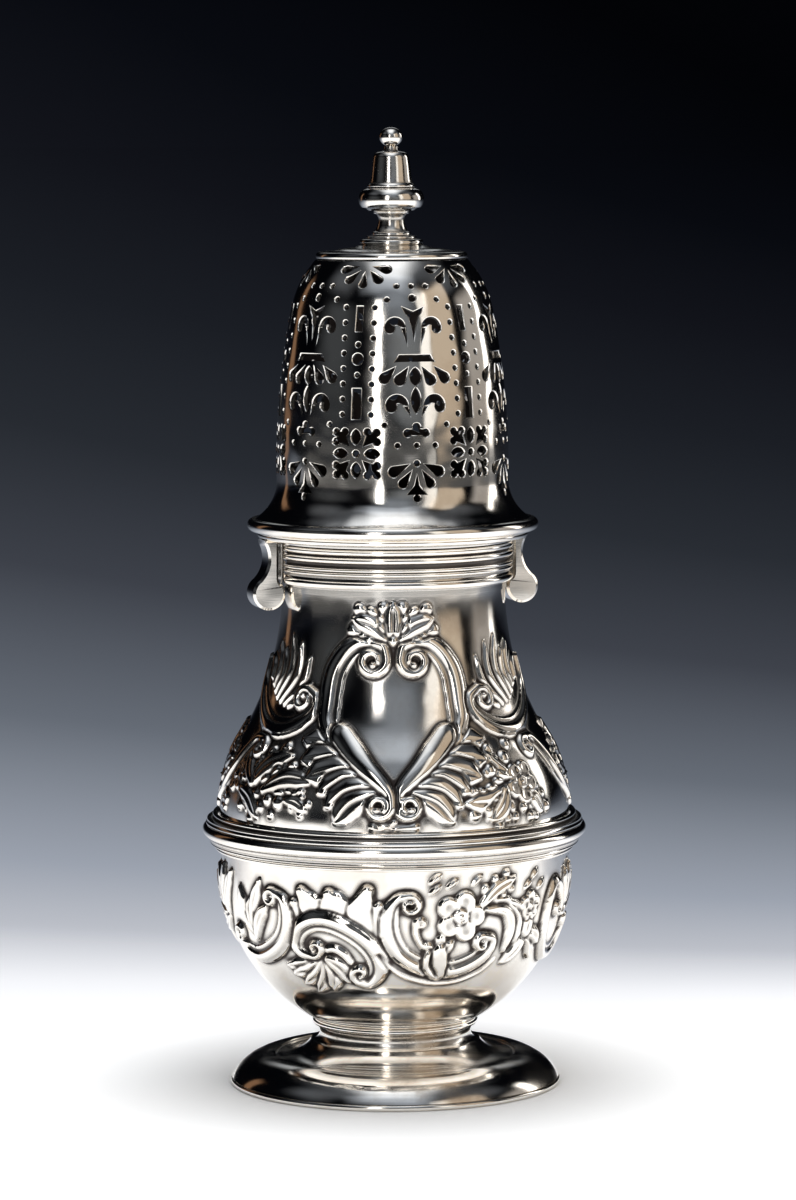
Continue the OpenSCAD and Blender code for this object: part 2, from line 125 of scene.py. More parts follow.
def handling_group():
    """Heights, in mm, of a hand-worked and handled surface: soft hammer dents and hair scratches."""
    group, given, put = open_group("handling_marks", {"Dent": 0.02, "Scratch": 0.002}, {"Height": "Float"})
    where = add_node(group, "TexCoord").outputs["Object"]
    dents = add_node(group, "TexNoise", {"Vector": where, "Scale": 130, "Detail": 1})
    height = maths(group, "MULTIPLY", dents.outputs["Fac"], given["Dent"])
    for turn, stretch in (((0.4, 0.2, 0.9), (1, 1, 40)), ((1.1, 0.7, 0.1), (40, 1, 1))):
        lie = add_node(group, "Mapping", {"Vector": where, "Rotation": turn, "Scale": stretch})
        hair = add_node(group, "TexNoise", {"Vector": lie.outputs["Vector"], "Scale": 260, "Detail": 3})
        height = maths(group, "MULTIPLY_ADD", hair.outputs["Fac"], given["Scratch"], height)
    group.links.new(height, put["Height"])
    return group


tarnish_and_recess_shade = film_group()
handling_marks = handling_group()


def silver(name, film=0.3, polish=0.11, dent=0.02, scratch=0.002):
    """Polished sterling silver; the mesh says where its recesses are, which get dark dirt and painted shade.
    """
    material = bpy.data.materials.new(name)
    material.use_nodes = True
    tree = material.node_tree
    metal = tree.nodes["Principled BSDF"].inputs
    metal["Metallic"].default_value = 1
    recess = add_node(tree, "Attribute", attribute_name="recess").outputs["Fac"]
    coat = add_node(tree, "Group", {"Recess": recess, "Film": film, "Polish": polish},
                    node_tree=tarnish_and_recess_shade)
    marks = add_node(tree, "Group", {"Dent": dent, "Scratch": scratch}, node_tree=handling_marks)
    relief = add_node(tree, "Bump", {"Height": marks.outputs["Height"], "Distance": mm})
    tree.links.new(coat.outputs["Color"], metal["Base Color"])
    tree.links.new(coat.outputs["Roughness"], metal["Roughness"])
    tree.links.new(relief.outputs["Normal"], metal["Normal"])
    return material


def set_piece(name, body, points, faces, recess, material, normals=None, corner=32):
    """Makes a mesh from points in mm, gives it its finish and puts it in the place of its solid."""
    mesh = bpy.data.meshes.new(name)
    mesh.from_pydata((np.asarray(points) * mm).tolist(), [], faces)
    mesh.shade_smooth()
    if normals is None:
        mesh.set_sharp_from_angle(angle=math.radians(corner))
    else:
        mesh.normals_split_custom_set_from_vertices(np.asarray(normals).tolist())
    mesh.attributes.new("recess", "FLOAT", "POINT").data.foreach_set("value", np.asarray(recess, np.float32))
    mesh.materials.append(material)
    piece = bpy.data.objects.new(name, mesh)
    bpy.context.scene.collection.objects.link(piece)
    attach(piece, body)
    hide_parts(name)


def outline_steps(outline, step, corner_gap=0.3):
    """The outline with points added on its long lines, closest together near their ends."""
    rows = []
    for a, b in zip(outline, outline[1:] + outline[:1]):
        a, b = np.array(a), np.array(b)
        length = np.hypot(*(b - a))
        cuts = [0]
        if length >= 1.5 * step:
            close = min(corner_gap, step) / length
            cuts += [close, *np.arange(step, length - step, 2 * step) / length, 1 - close]
        rows += [a + (b - a) * k for k in cuts]
    return np.array(rows)


def outline_recess(rows, span=0.7, fine_step=0.05, deepest=0.16):
    """How deep each point of a closed outline lies in a corner, from 0 to 1."""
    ends = np.vstack([rows, rows[:1]])
    run = np.concatenate([[0], np.cumsum(np.hypot(*np.diff(ends, axis=0).T))])
    fine = np.arange(0, run[-1], fine_step)
    path = np.stack([np.interp(fine, run, ends[:, k]) for k in (0, 1)], 1)
    reach = int(span / fine_step)
    mean = sum(np.roll(path, k, 0) for k in range(-reach, reach + 1)) / (2 * reach + 1)
    ahead = np.roll(path, -3, 0) - np.roll(path, 3, 0)
    out = np.stack([ahead[:, 1], -ahead[:, 0]], 1) / np.maximum(np.hypot(*ahead.T), 1e-9)[:, None]
    depth = ((mean - path) * out).sum(1)
    return np.clip(np.interp(run[:-1], fine, depth) / deepest, 0, 1)


def turned(name, body, outline, material, segments=256, step=0.8, gaps=()):
    """A turned piece: a closed outline of (radius, height above the solid's lower edge), outside upwards,
    spun about the axis. gaps are (direction, half width) in degrees of slots cut across it."""
    rows = outline_steps(outline, step) + (0, lowest(name))
    # the corners of the outline are darkened by the recess colour: dirt and painted shade
    depth = outline_recess(rows)
    spans = [(0, 360)]
    if gaps:
        edges = sorted((turn - half, turn + half) for turn, half in gaps)
        spans = [(a[1], b[0]) for a, b in zip(edges, edges[1:] + [(edges[0][0] + 360, 0)])]
    points, faces, recess = [], [], []
    for first, last in spans:
        whole = last - first == 360
        count = round(segments * (last - first) / 360)
        a = np.radians(first + (last - first) * np.arange(count + (not whole)) / count)
        base, wide, tall = len(points), len(a), len(rows)
        for r, z in rows:
            points += np.stack([r * np.cos(a), r * np.sin(a), np.full(wide, z)], 1).tolist()
        recess += np.repeat(depth, wide).tolist()
        for i in range(tall):
            k, up = base + i * wide, base + (i + 1) % tall * wide
            faces += [(k + j, k + (j + 1) % wide, up + (j + 1) % wide, up + j) for j in range(count)]
        if not whole:
            # the walls of the slots
            faces.append([base + i * wide for i in range(tall)])
            faces.append([base + i * wide + wide - 1 for i in reversed(range(tall))])
    set_piece(name, body, points, faces, recess, material)


plain_silver = silver("plain_silver", film=0.35)
foot_silver = silver("foot_silver", film=0.95, polish=0.09)
foot_outline = [
    (31.7, 0), *arc(25, -4.18, 8.98, 27.7, 95.1, 22), (24.2, 4.42), *arc(22.6, 11.13, 6.73, 270, 213.7, 16),
    (15.9, 7.4), *arc(22.6, 11.13, 7.83, 211, 270, 12), (23.1, 3.3), *arc(25, -4.18, 7.88, 103, 32, 14),
]
turned("foot", "body", foot_outline, foot_silver)
rim_outline = [(31.6, 0), (32.6, 0), *arc(32.65, 0.62, 0.62, -90, 90, 12), (31.6, 1.3)]
turned("foot_rim_wire", "body", rim_outline, plain_silver)

# Stem: a waisted collar of stout sheet, soldered between the foot and the bowl, with a half-round
# wire that hides the upper joint.
collar_outline = [(14.4, 0), (16.1, 0), *arc(17.1, 1.62, 1.9, 238.3, 121.7, 16), (15.5, 3.24), (14.4, 3.5)]
turned("stem_collar", "body", collar_outline, foot_silver, 192)
ring_outline = [(15.4, 0), *arc(16.1, 0.6, 0.6, -90, 90, 12), (15.5, 1.2)]
turned("stem_ring", "body", ring_outline, foot_silver, 192)

# Bowl: a raised half sphere with a short straight wall. It is chased from outside in the rococo manner,
# alike at front and back: rolled scrolls, a ruffled shell, a bud, a flower and leaves on a plain ground.


def rounded(x, along):
    """A section of a chased band: x goes from -1 to 1 across the band, and along from 0 to 1 down it, which
    this one does not use.
    """
    return np.sqrt(1 - x * x)


def dished(x, along):
    return np.sqrt(1 - x ** 10) * (0.38 + 0.62 * x * x)


def veined(x, along):
    return np.sqrt(1 - x * x) * (1 - 0.5 * np.exp(-(x / 0.18) ** 2))


def keeled(x, along):
    return 1 - np.abs(x) ** 1.4


def flared(x, along):
    return (0.3 + 0.7 * along ** 2) * np.sqrt(1 - x ** 6)


def moulded(x, along):
    """A broad roll with a thin bead along its outer edge and a flat strip on its inner side."""
    roll = np.maximum(0.3, 0.25 + 0.75 * np.sqrt(np.clip(1 - ((x + 0.2) / 0.58) ** 2, 0, 1)))
    outer = 0.7 * np.sqrt(np.clip(1 - ((x + 0.89) / 0.12) ** 2, 0, 1))
    inner = 0.5 * np.sqrt(np.clip(1 - ((x - 0.87) / 0.13) ** 2, 0, 1))
    return np.maximum(np.maximum(outer, inner), roll * (np.abs(x) < 0.97))


def soften(field, reach):
    """Box blur of a field whose columns run round and whose rows end."""
    tall = np.pad(field, ((reach, reach), (0, 0)), "edge")
    rows = sum(tall[k:k + len(field)] for k in range(2 * reach + 1)) / (2 * reach + 1)
    return sum(np.roll(rows, k, 1) for k in range(-reach, reach + 1)) / (2 * reach + 1)


class Sheet:
    """A wall of silver to be chased: rows of (radius, height) going up, by columns round half of it. The
    other half is alike. Beside a new band, older work is beaten down and a groove is cut in the ground."""

    left_under, beaten_down, groove = 0.25, 0.7, 0.07
    dirt_reach, dirt_deep = 5, 0.2

    def __init__(self, profile, columns):
        self.profile = np.array(profile, float)
        self.turn = (np.arange(columns) / columns - 0.5) * math.pi
        self.raised = np.zeros((len(profile), columns))

    def chase(self, spot, line, half, tall=0.8, section=rounded, edge=0.5):
        """Raises a band along a line of (way round, height) in mm about a direction in degrees. half lists
        half widths at even steps along it."""
        line = np.asarray(line, float)
        half = np.interp(np.linspace(0, 1, len(line)), np.linspace(0, 1, len(half)), half)
        # the places on the sheet near the line
        low, high = line.min(0) - half.max() - edge, line.max(0) + half.max() + edge
        r, z = self.profile.T
        rows = np.flatnonzero((z > low[1]) & (z < high[1]))
        way = (self.turn - math.radians(spot) + math.pi / 2) % math.pi - math.pi / 2
        way = way[None] * r[rows, None]
        i, j = np.nonzero((way > low[0]) & (way < high[0]))
        # how far each of them lies from its nearest stretch of the line, in half widths
        run = np.diff(line, axis=0)
        off = np.stack([way[i, j], z[rows[i]]], 1)[:, None] - line[:-1]
        part = np.clip((off * run).sum(2) / np.maximum((run ** 2).sum(1), 1e-9), 0, 1)
        off -= part[..., None] * run
        wide = half[:-1] + part * np.diff(half)
        gap = np.hypot(off[..., 0], off[..., 1])
        best = np.arange(len(i)), (gap / wide).argmin(1)
        off, run_here = off[best], run[best[1]]
        left = np.where(run_here[:, 0] * off[:, 1] > run_here[:, 1] * off[:, 0], 1, -1)
        x = np.minimum(gap[best] / wide[best], 1)
        # its height on the band, or what is left of older work beside the band
        top = tall * section(left * x, (best[1] + part[best]) / len(run))
        cut = np.clip(1 - (gap[best] - wide[best]) / edge, 0, 1)
        here = rows[i], j
        old = self.raised[here]
        beside = old * (1 - self.beaten_down * cut) - self.groove * cut
        self.raised[here] = np.where(x < 1, np.maximum(top, self.left_under * old), beside)

    def piece(self, name, inside, material, deep=1):
        """The chased wall with a plain inside, given as rows of (radius, height) going down."""
        raised = deep * soften(np.tile(self.raised, (1, 2)), 1)
        # the hollows beside raised work are darkened by the recess colour: dirt and painted shade
        hollow = np.clip((soften(raised, self.dirt_reach) - raised) / self.dirt_deep, 0, 1)
        count = raised.shape[1]
        slope = np.gradient(self.profile, axis=0)
        out = np.stack([slope[:, 1], -slope[:, 0]], 1) / np.hypot(*slope.T)[:, None]
        r = np.vstack([self.profile[:, :1] + out[:, :1] * raised, np.repeat(inside[:, :1], count, 1)])
        z = np.vstack([self.profile[:, 1:] + out[:, 1:] * raised, np.repeat(inside[:, 1:], count, 1)])
        a = np.concatenate([self.turn, self.turn + math.pi])
        points = np.stack([r * np.sin(a), -r * np.cos(a), z], 2).reshape(-1, 3)
        recess = np.concatenate([hollow.ravel(), np.zeros(len(inside) * count)])
        column = np.arange(count)
        rows = [np.stack([k * count + column, k * count + (column + 1) % count], 1) for k in range(len(r))]
        pairs = list(zip(rows, rows[1:]))
        open_below = self.profile[0, 0] > 2
        if open_below:
            pairs.append((rows[-1], rows[0]))
        faces = np.concatenate([np.concatenate([low, up[:, ::-1]], 1) for low, up in pairs]).tolist()
        if not open_below:
            faces += [rows[0][::-1, 0].tolist(), rows[-1][:, 0].tolist()]
        set_piece(name, "body", points, faces, recess, material, corner=50)


def curve(points, steps=8):
    """A smooth line through given points."""
    p = np.array(points, float)
    p = np.vstack([2 * p[0] - p[1], p, 2 * p[-1] - p[-2]])
    t = np.linspace(0, 1, steps, endpoint=False)[:, None]
    runs = [b + 0.5 * t * (c - a + t * (2 * a - 5 * b + 4 * c - d + t * (3 * (b - c) + d - a)))
            for a, b, c, d in zip(p, p[1:], p[2:], p[3:])]
    return np.vstack(runs + [p[-2:-1]])


def volute(line, radius, turns, side, shrink=0.72):
    """The line that winds up from the end of another one: side 1 turns left, -1 right."""
    count = int(36 * turns)
    k = np.arange(count)
    spin = side * 2 * math.pi * turns / count
    a = math.atan2(*(line[-1] - line[-2])[::-1]) + spin * (k + 1)
    pace = radius * (1 - shrink * k / count) * abs(spin)
    return line[-1] + np.cumsum(np.stack([np.cos(a), np.sin(a)], 1) * pace[:, None], 0)


def scroll(sheet, spot, points, half, start=None, end=None, tall=0.9, shape=moulded):
    """A scroll through some points. Its ends may roll up: (radius, turns, side), going outwards."""
    line = curve(points)
    wide = np.interp(np.linspace(0, 1, len(line)), np.linspace(0, 1, len(half)), half)
    for rolled in (end, start):
        if rolled:
            roll = volute(line, *rolled)
            line, wide = np.vstack([line, roll]), np.append(wide, np.linspace(1, 0.5, len(roll)) * wide[-1])
        line, wide = line[::-1], wide[::-1]

    inner = end[2] if end else -start[2]

    def section(x, along):
        broad = np.clip((np.interp(along, np.linspace(0, 1, len(wide)), wide) - 1) / 0.4, 0, 1)
        return broad * shape(inner * x, along) + (1 - broad) * rounded(x, along)

    sheet.chase(spot, line, wide, tall, section)
    for rolled, k in ((start, 0), (end, -1)):
        if rolled:
            sheet.chase(spot, [line[k], line[k] + 0.01], [0.28 * rolled[0]], 1.15 * tall, edge=0.3)


def leaf(sheet, spot, root, tip, half, bend=0.12, tall=0.75, section=veined):
    """A leaf from root to tip, bent to the left, or to the right if bend is negative."""
    root, tip = np.array(root, float), np.array(tip, float)
    middle = 0.5 * (root + tip) + bend * np.array([root[1] - tip[1], tip[0] - root[0]])
    widths = half * np.array([0.45, 0.85, 1.05, 0.95, 0.2])
    sheet.chase(spot, curve([root, middle, tip]), widths, tall, section, 0.35)


def toothed_leaf(sheet, spot, root, tip, half, teeth=3, bend=0.12):
    """A leaf with small pointed lobes along both edges."""
    root, tip = np.array(root, float), np.array(tip, float)
    middle = 0.5 * (root + tip) + bend * np.array([root[1] - tip[1], tip[0] - root[0]])
    line = curve([root, middle, tip])
    for k in np.linspace(0.2, 0.72, teeth) * (len(line) - 1):
        at, onward = line[int(k)], line[int(k) + 1] - line[int(k)]
        onward /= np.hypot(*onward)
        for aside in (np.array([-onward[1], onward[0]]), np.array([onward[1], -onward[0]])):
            leaf(sheet, spot, at, at + half * (1.25 * aside + 1.1 * onward), 0.55 * half, 0, 0.65, rounded)
    leaf(sheet, spot, root, tip, 0.85 * half, bend)


def flower(sheet, spot, centre, size, turn=90, tall=0.8):
    """An open flower: five cupped petals round a ringed boss."""
    centre = np.array(centre, float)
    for k in range(5):
        a = math.radians(turn + 72 * k)
        way = np.array([math.cos(a), math.sin(a)])
        sheet.chase(spot, [centre + 0.34 * size * way, centre + 0.58 * size * way],
                    [0.3 * size, 0.42 * size], tall, dished, 0.35)
    sheet.chase(spot, [centre, centre + 0.01], [0.29 * size], 1.15 * tall, dished, 0.4)
    sheet.chase(spot, [centre, centre + 0.01], [0.13 * size], 1.15 * tall, rounded, 0.2)


def berry(sheet, spot, centre, half):
    sheet.chase(spot, [centre, (centre[0] + 0.01, centre[1])], [half], 0.75, rounded, 0.35)


chased_silver = silver("chased_silver", film=0.55, polish=0.085, dent=0.12)
bowl_r, wall_tall, sheet_mm = 35, 7, 1.1
joint_z = highest("bowl")
bowl_z = joint_z - wall_tall
under, flank = -88.3, -45
swing = np.radians([*np.linspace(under, flank, 30, endpoint=False), *np.linspace(flank, 0, 126)])
bowl_rows = [(bowl_r * math.cos(a), bowl_z + bowl_r * math.sin(a)) for a in swing]
bowl_rows += [(bowl_r, z) for z in np.linspace(bowl_z + 0.22, joint_z, 30)]
bowl_sheet = Sheet(bowl_rows, 460)

# left of the front: a ruffled shell, the scroll under it and the leaf that hangs there
for line, half, tall in (
        ([(-20.6, 38.4), (-20.8, 40.7)], [1.2, 1.1], 0.7), ([(-15.6, 38.6), (-15.2, 40.6)], [2, 1.8], 0.7),
        ([(-9.2, 37.4), (-8.2, 40.3)], [2, 1.8], 0.7), ([(-3.8, 35), (-3, 40.4)], [1.2, 1.3], 0.7),
        ([(-16.4, 38.2), (-17.4, 41), (-19, 43.2)], [2.2, 2.4, 1.1], 0.9),
        ([(-12.8, 38.4), (-12, 41), (-13, 43)], [2.8, 2.9, 1.2], 0.9),
        ([(-6, 35), (-6.8, 40), (-5.2, 43.9)], [1.9, 2.7, 1.2], 0.9)):
    bowl_sheet.chase(0, line, half, tall, flared, 0.3)
for tip in ((-22.8, 27.8), (-21.2, 26.1), (-18.5, 24), (-15.4, 22.3), (-12, 23), (-8.6, 25)):
    leaf(bowl_sheet, 0, (-13.4, 29.8), tip, 1.7, 0.1)
leaf_stalk = curve([(-14.6, 31.2), (-12.3, 32), (-10.2, 31.1), (-8.6, 29.2)])
bowl_sheet.chase(0, leaf_stalk, [0.6, 0.9, 0.9, 0.6], 0.65)
scroll(bowl_sheet, 0,
       [(-16.4, 30.2), (-18.9, 30.7), (-20.4, 32.4), (-19.9, 34.8), (-18.1, 36.6), (-15.4, 37.5),
        (-12, 37.1), (-8.1, 35.3), (-5.1, 32.8), (-3.3, 29.7), (-3.4, 26.8), (-5.1, 25), (-7, 25.2)],
       [0.8, 1.2, 1.7, 2, 2.1, 2.1, 2.1, 2, 1.4, 0.9], (1.7, 1, 1), (1.7, 1, -1))
# right of it: the long scroll that carries the bud, the flower and an arching leaf
thread = curve([(-3, 31), (0, 27.4), (4, 25.4), (8, 24.6), (12.8, 24.9), (17.6, 26.6), (21, 28.8)])
bowl_sheet.chase(0, thread, [0.2, 0.45, 0.45, 0.45, 0.2], 0.4)
scroll(bowl_sheet, 0, [(5.4, 32.4), (4.2, 34.9), (4.1, 37.2)], [0.5, 0.6], None, (1, 1.1, -1), 0.6)
scroll(bowl_sheet, 0,
       [(2.4, 42.9), (0.8, 42.3), (-0.7, 40.3), (-1.2, 37.4), (-0.7, 34.3), (1, 31.3), (4, 29), (7.8, 27.6),
        (12.2, 27.7), (16.4, 29.3), (19.3, 31.5), (19.9, 33.3), (18.4, 34.1)],
       [0.8, 1.3, 1.8, 1.9, 1.8, 1.8, 1.8, 1.7, 1.3, 0.9], (2, 1.15, -1), (1.6, 1.1, 1))
for tip in ((6, 33.2), (9.4, 35), (11.4, 33.4)):
    leaf(bowl_sheet, 0, (8.4, 30), tip, 1.1, 0, 0.7)
leaf(bowl_sheet, 0, (9, 32.2), (7.9, 25.8), 2.3, -0.06, 0.95, rounded)
leaf(bowl_sheet, 0, (6.6, 31.4), (7.7, 26), 1.1, -0.2, 1, keeled)
leaf(bowl_sheet, 0, (18, 39.8), (25.6, 40.2), 1.3, 0.08)
toothed_leaf(bowl_sheet, 0, (17.4, 40.2), (25.8, 45.2), 1.7, 3, 0.08)
for line in ([(21, 40.2), (26.2, 39.2), (28.6, 36.4), (28.4, 32.6)],
             [(20, 39.8), (25, 38.6), (26.8, 34.4), (25.4, 28.9)],
             [(19, 39.4), (23.4, 38.6), (24.6, 35), (22.8, 30.1)]):
    bowl_sheet.chase(0, curve(line), [0.6, 1.2, 1.5, 1.2, 0.2], 0.75, veined, 0.4)
flower(bowl_sheet, 0, (13.2, 38.4), 5.2, 0)
for u, z in ((8, 46), (8, 43.9), (11.4, 44.9), (16.7, 45.3)):
    leaf(bowl_sheet, 0, (u - 0.9, z - 0.7), (u + 1, z + 0.8), 0.6, 0, 0.5, rounded)
# the right side: a small flower over drooping leaves and an open loop
for tip in ((1, 27.9), (9.1, 27.9), (10.9, 31)):
    leaf(bowl_sheet, 40, (5.8, 34), tip, 1.5, 0.1)
leaf(bowl_sheet, 40, (6.1, 37.4), (5.6, 33), 1.7, 0)
flower(bowl_sheet, 40, (6.1, 39.2), 3)
for u, z in ((7.2, 45.2), (5.2, 43.4), (9.2, 43)):
    leaf(bowl_sheet, 40, (u - 0.9, z - 0.7), (u + 1, z + 0.8), 0.6, 0, 0.5, rounded)
for tip in ((8.6, 44.8), (12, 45.8), (15.4, 43.4), (15.8, 38.6)):
    leaf(bowl_sheet, 60, (9.6, 35.4), tip, 1.5, -0.06)
scroll(bowl_sheet, 60,
       [(6.6, 37.8), (5.4, 41.2), (2.9, 42.3), (1, 39.4), (0.7, 35.1), (1.8, 31.3), (4.8, 28.2), (9.2, 27.6),
        (12.6, 29.4), (14.4, 32.6)],
       [0.8, 1.3, 1.6, 1.7, 1.7, 1.6, 1.4, 1], (1.5, 1.1, -1), (1.6, 1.1, 1))
# the left side: a C-scroll full of leaves
for tip in ((-14.2, 43.6), (-10.4, 45.6), (-6.2, 46), (-1.6, 45), (-12.4, 37.2), (-12, 32.4)):
    leaf(bowl_sheet, -64, (-5.6, 35.2), tip, 1.5, 0.08)
for tip in ((-6.2, 42.6), (-2.4, 41), (0.6, 44.4), (2.2, 39.4)):
    leaf(bowl_sheet, -50, (-2.6, 32.4), tip, 1.5, 0.06)
scroll(bowl_sheet, -50,
       [(4.8, 42.5), (6.8, 41), (7.2, 37.4), (5.6, 33.7), (2, 30.8), (-3, 28.9), (-6.9, 29.4), (-9.7, 31.4)],
       [0.9, 1.5, 1.9, 2, 2, 1.8, 1.4, 0.8], (1.6, 1.1, 1), (1.7, 1.1, -1))
bowl_inside = np.array([(bowl_r - sheet_mm, z) for z in (joint_z, bowl_z)] +
                       arc(0, bowl_z, bowl_r - sheet_mm, 0, under, 24)[1:])
bowl_sheet.piece("bowl", bowl_inside, chased_silver, 1.25)

# Girdle: a drawn moulding with a stout roll between coves and small beads, soldered over the joint of the
# lower and the upper body.
girdle_outline = [
    (bowl_r, 0), *arc(35.66, 0.45, 0.45, -90, 75, 10), (35.75, 0.99), (36.7, 1.11),
    *arc(37.55, 1.67, 0.62, 205, 120, 8), (37.35, 2.32), (37.35, 2.72),
    *arc(37.25, 3.97, 1.25, -70, 70, 16), (37.45, 5.23), (37.8, 5.33),
    *arc(38.4, 6.12, 0.85, 225, 175, 7), (36.5, 6.27), (36.25, 6.49),
    *arc(35.92, 7.05, 0.52, -60, 90, 10), (bowl_r, 7.6),
]
turned("girdle", "body", girdle_outline, plain_silver, 320, 0.5)

# Upper body: raised to a pear shape with a straight neck. Its chasing shows a vacant scrolled cartouche
# under a leafy crest, with acanthus, flaming scrolls and bunches of flowers at the sides, alike at the back.
belly_z, neck_z, seat_z = highest("girdle"), lowest("bayonet_wire"), highest("upper_body")
neck_r, belly_curve, hollow_curve, meet = 22.4, 28.7, 56.9, 31.48
belly_r, hollow_r = bowl_r - belly_curve, neck_r + hollow_curve
pear_rows = [(bowl_r, z) for z in np.linspace(joint_z, belly_z - 0.33, 6)]
pear_rows += arc(belly_r, belly_z, belly_curve, 0, meet, 72)[:-1]
pear_rows += arc(hollow_r, neck_z, hollow_curve, 180 + meet, 180, 142)
pear_rows += [(neck_r, z) for z in np.linspace(neck_z + 0.67, seat_z, 8)]
pear_sheet = Sheet(pear_rows, 420)


def on(side, *points):
    """Points of the ornament on one side of the front, mirrored for the other side."""
    return [(side * u, z) for u, z in points]


# low down at the sides: bunches of flowers, berries and leaves
for root, tip, half in (((-2, 63), (-12.6, 60.4), 2.3), ((-3, 62.4), (-7.1, 56.8), 2),
                        ((-1, 65), (-6.6, 70), 2), ((2, 62), (6.6, 57.2), 2)):
    toothed_leaf(pear_sheet, 45, root, tip, half)
for u, z, half in ((-1.3, 68.5, 1.3), (0.4, 70.9, 1.1), (-5.7, 66.4, 1.2), (-1.3, 57, 1), (3.2, 56.8, 1.1),
                   (1.1, 58.8, 1.1), (8.5, 58.2, 1.2)):
    berry(pear_sheet, 45, (u, z), half)
flower(pear_sheet, 45, (1.7, 63.6), 4.2, 60)
for root, tip, half in (((-2.5, 63), (6.7, 69), 2.2), ((1.5, 62.2), (13.2, 64.4), 2.2),
                        ((-6.8, 61.9), (0.4, 56.6), 2), ((-2.5, 63.2), (-5.3, 70), 2),
                        ((7.6, 60.6), (13, 58.8), 1.4)):
    toothed_leaf(pear_sheet, -51, root, tip, half)
for u, z, half in ((3.1, 60.4, 1.2), (6.1, 60.1, 1.4), (-5.7, 58.5, 1), (4.3, 57.5, 0.9)):
    berry(pear_sheet, -51, (u, z), half)
flower(pear_sheet, -51, (-9.4, 64.4), 3.8, 30)
flower(pear_sheet, -51, (-14.4, 58.9), 2.6, 80)
# a spray on each flank, half way round to the back
for root, tip, half in (((2, 63.4), (7.4, 66.8), 1.9), ((-2, 63.4), (-7.4, 66.8), 1.9),
                        ((0, 65), (0, 73.4), 2)):
    toothed_leaf(pear_sheet, 90, root, tip, half)
flower(pear_sheet, 90, (0, 62.4), 4.2)
for u, z in ((-3.6, 69.4), (3.6, 69.4), (-2.4, 57.4), (0, 56.8), (2.4, 57.4)):
    berry(pear_sheet, 90, (u, z), 1.1)
# a small shell under the cartouche
for turn in (-70, -35, 0, 35, 70):
    a = math.radians(turn)
    rib_end = 4.2 * math.sin(a), 55.9 + 1.2 * math.cos(a)
    pear_sheet.chase(0, [(0, 56), rib_end], [0.5, 1], 0.6, rounded, 0.3)
for side in (-1, 1):
    # a flaming scroll at each side, and a slanting one round the flank
    roots = on(side, (0.2, 77.9), (1.6, 78.2), (3.2, 78.6), (4.8, 79.2), (6.2, 80.2), (7.6, 81.4),
               (9.4, 82.6))
    tips = on(side, (-4.6, 83), (-3.1, 87.8), (0, 90.4), (3.3, 91.6), (5.4, 88.9), (8, 90.1), (11.4, 87.4))
    for root, tip in zip(roots, tips):
        leaf(pear_sheet, 50 * side, root, tip, 0.95, 0.14 * side, 0.75, keeled)
    scroll(pear_sheet, 50 * side,
           on(side, (-4.9, 81.4), (-6.8, 80), (-6.8, 77.6), (-4.7, 75.3), (-1.2, 73.9), (3.2, 73.9),
              (7.1, 75.5), (10.9, 78.5), (13.4, 82), (13.8, 86.3)),
           [0.9, 1.1, 1.6, 1.9, 1.9, 1.8, 1.5, 1.2, 0.3], (2.2, 1.2, -side))
    scroll(pear_sheet, 66 * side,
           on(side, (-4.4, 71.5), (-2.1, 71), (0.3, 68.5), (2.9, 65), (6.3, 61.3), (9.7, 58.4)),
           [0.9, 1.4, 1.7, 1.6, 1.2, 0.5], (1.8, 1.2, side))
    # acanthus under the cartouche, its frame and the stems that roll up below
    roots = on(side, (-8, 68), (-7, 67), (-7, 66.2), (-5.5, 65.6), (-4.2, 64.6), (-3.3, 63.9), (-4.5, 62.6),
               (-4, 62.4))
    tips = on(side, (-14.2, 73), (-18.4, 72.2), (-18.7, 68.4), (-17.6, 65.2), (-15, 62.6), (-13.4, 60),
              (-8.4, 58.3), (-11.6, 56.9))
    for root, tip, half in zip(roots, tips, (2.5, 3, 2.9, 2.8, 2.5, 2.6, 1.8, 2.5)):
        leaf(pear_sheet, 0, root, tip, half, -0.1 * side)
    scroll(pear_sheet, 0,
           on(side, (-8.6, 69.8), (-11.4, 72.6), (-13.2, 75.8), (-12.9, 79.8), (-12.4, 83.2), (-11.6, 85.7),
              (-10.1, 88.1), (-8.3, 89.9), (-6.4, 90.9), (-4.2, 91.2), (-2.2, 90.3), (-1.5, 88.3)),
           [1, 1.9, 2.3, 2.4, 2.3, 2.1, 1.9, 1.5, 1.2, 1.1], None, (2.75, 1.3, -side))
    scroll(pear_sheet, 0,
           on(side, (-10.2, 73.2), (-7.6, 70.2), (-5.2, 67.4), (-2.5, 64.7), (-0.9, 62.6), (-0.5, 60.6)),
           [2.5, 2.4, 2, 1.6, 1.2, 1], None, (2.4, 1.4, -side), 1.1, rounded)
    # leaves of the crest, from the lowest to the highest
    leaf(pear_sheet, 0, *on(side, (-1.2, 91.9), (-7.4, 93.1)), 1.6, -0.08 * side)
    toothed_leaf(pear_sheet, 0, *on(side, (-1, 91.9), (-7.8, 95.6)), 2.3, 3, -0.08 * side)
toothed_leaf(pear_sheet, 0, (0, 91.2), (0, 98.6), 2, 3, 0)
berry(pear_sheet, 0, (0, 91.4), 1)
# the hooks of the cover swing close over the neck, so the chasing is kept low there
most = np.interp(pear_sheet.profile[:, 1], [97, 98.6], [1.2, 0.35])
pear_sheet.raised = np.minimum(pear_sheet.raised, most[:, None])
pear_inside = np.array([(neck_r - sheet_mm, seat_z), (neck_r - sheet_mm, neck_z)] +
                       arc(hollow_r, neck_z, hollow_curve + sheet_mm, 183, 180 + meet, 14) +
                       arc(belly_r, belly_z, belly_curve - sheet_mm, meet, 0, 10)[1:] +
                       [(bowl_r - sheet_mm, joint_z)])
pear_sheet.piece("upper_body", pear_inside, chased_silver)

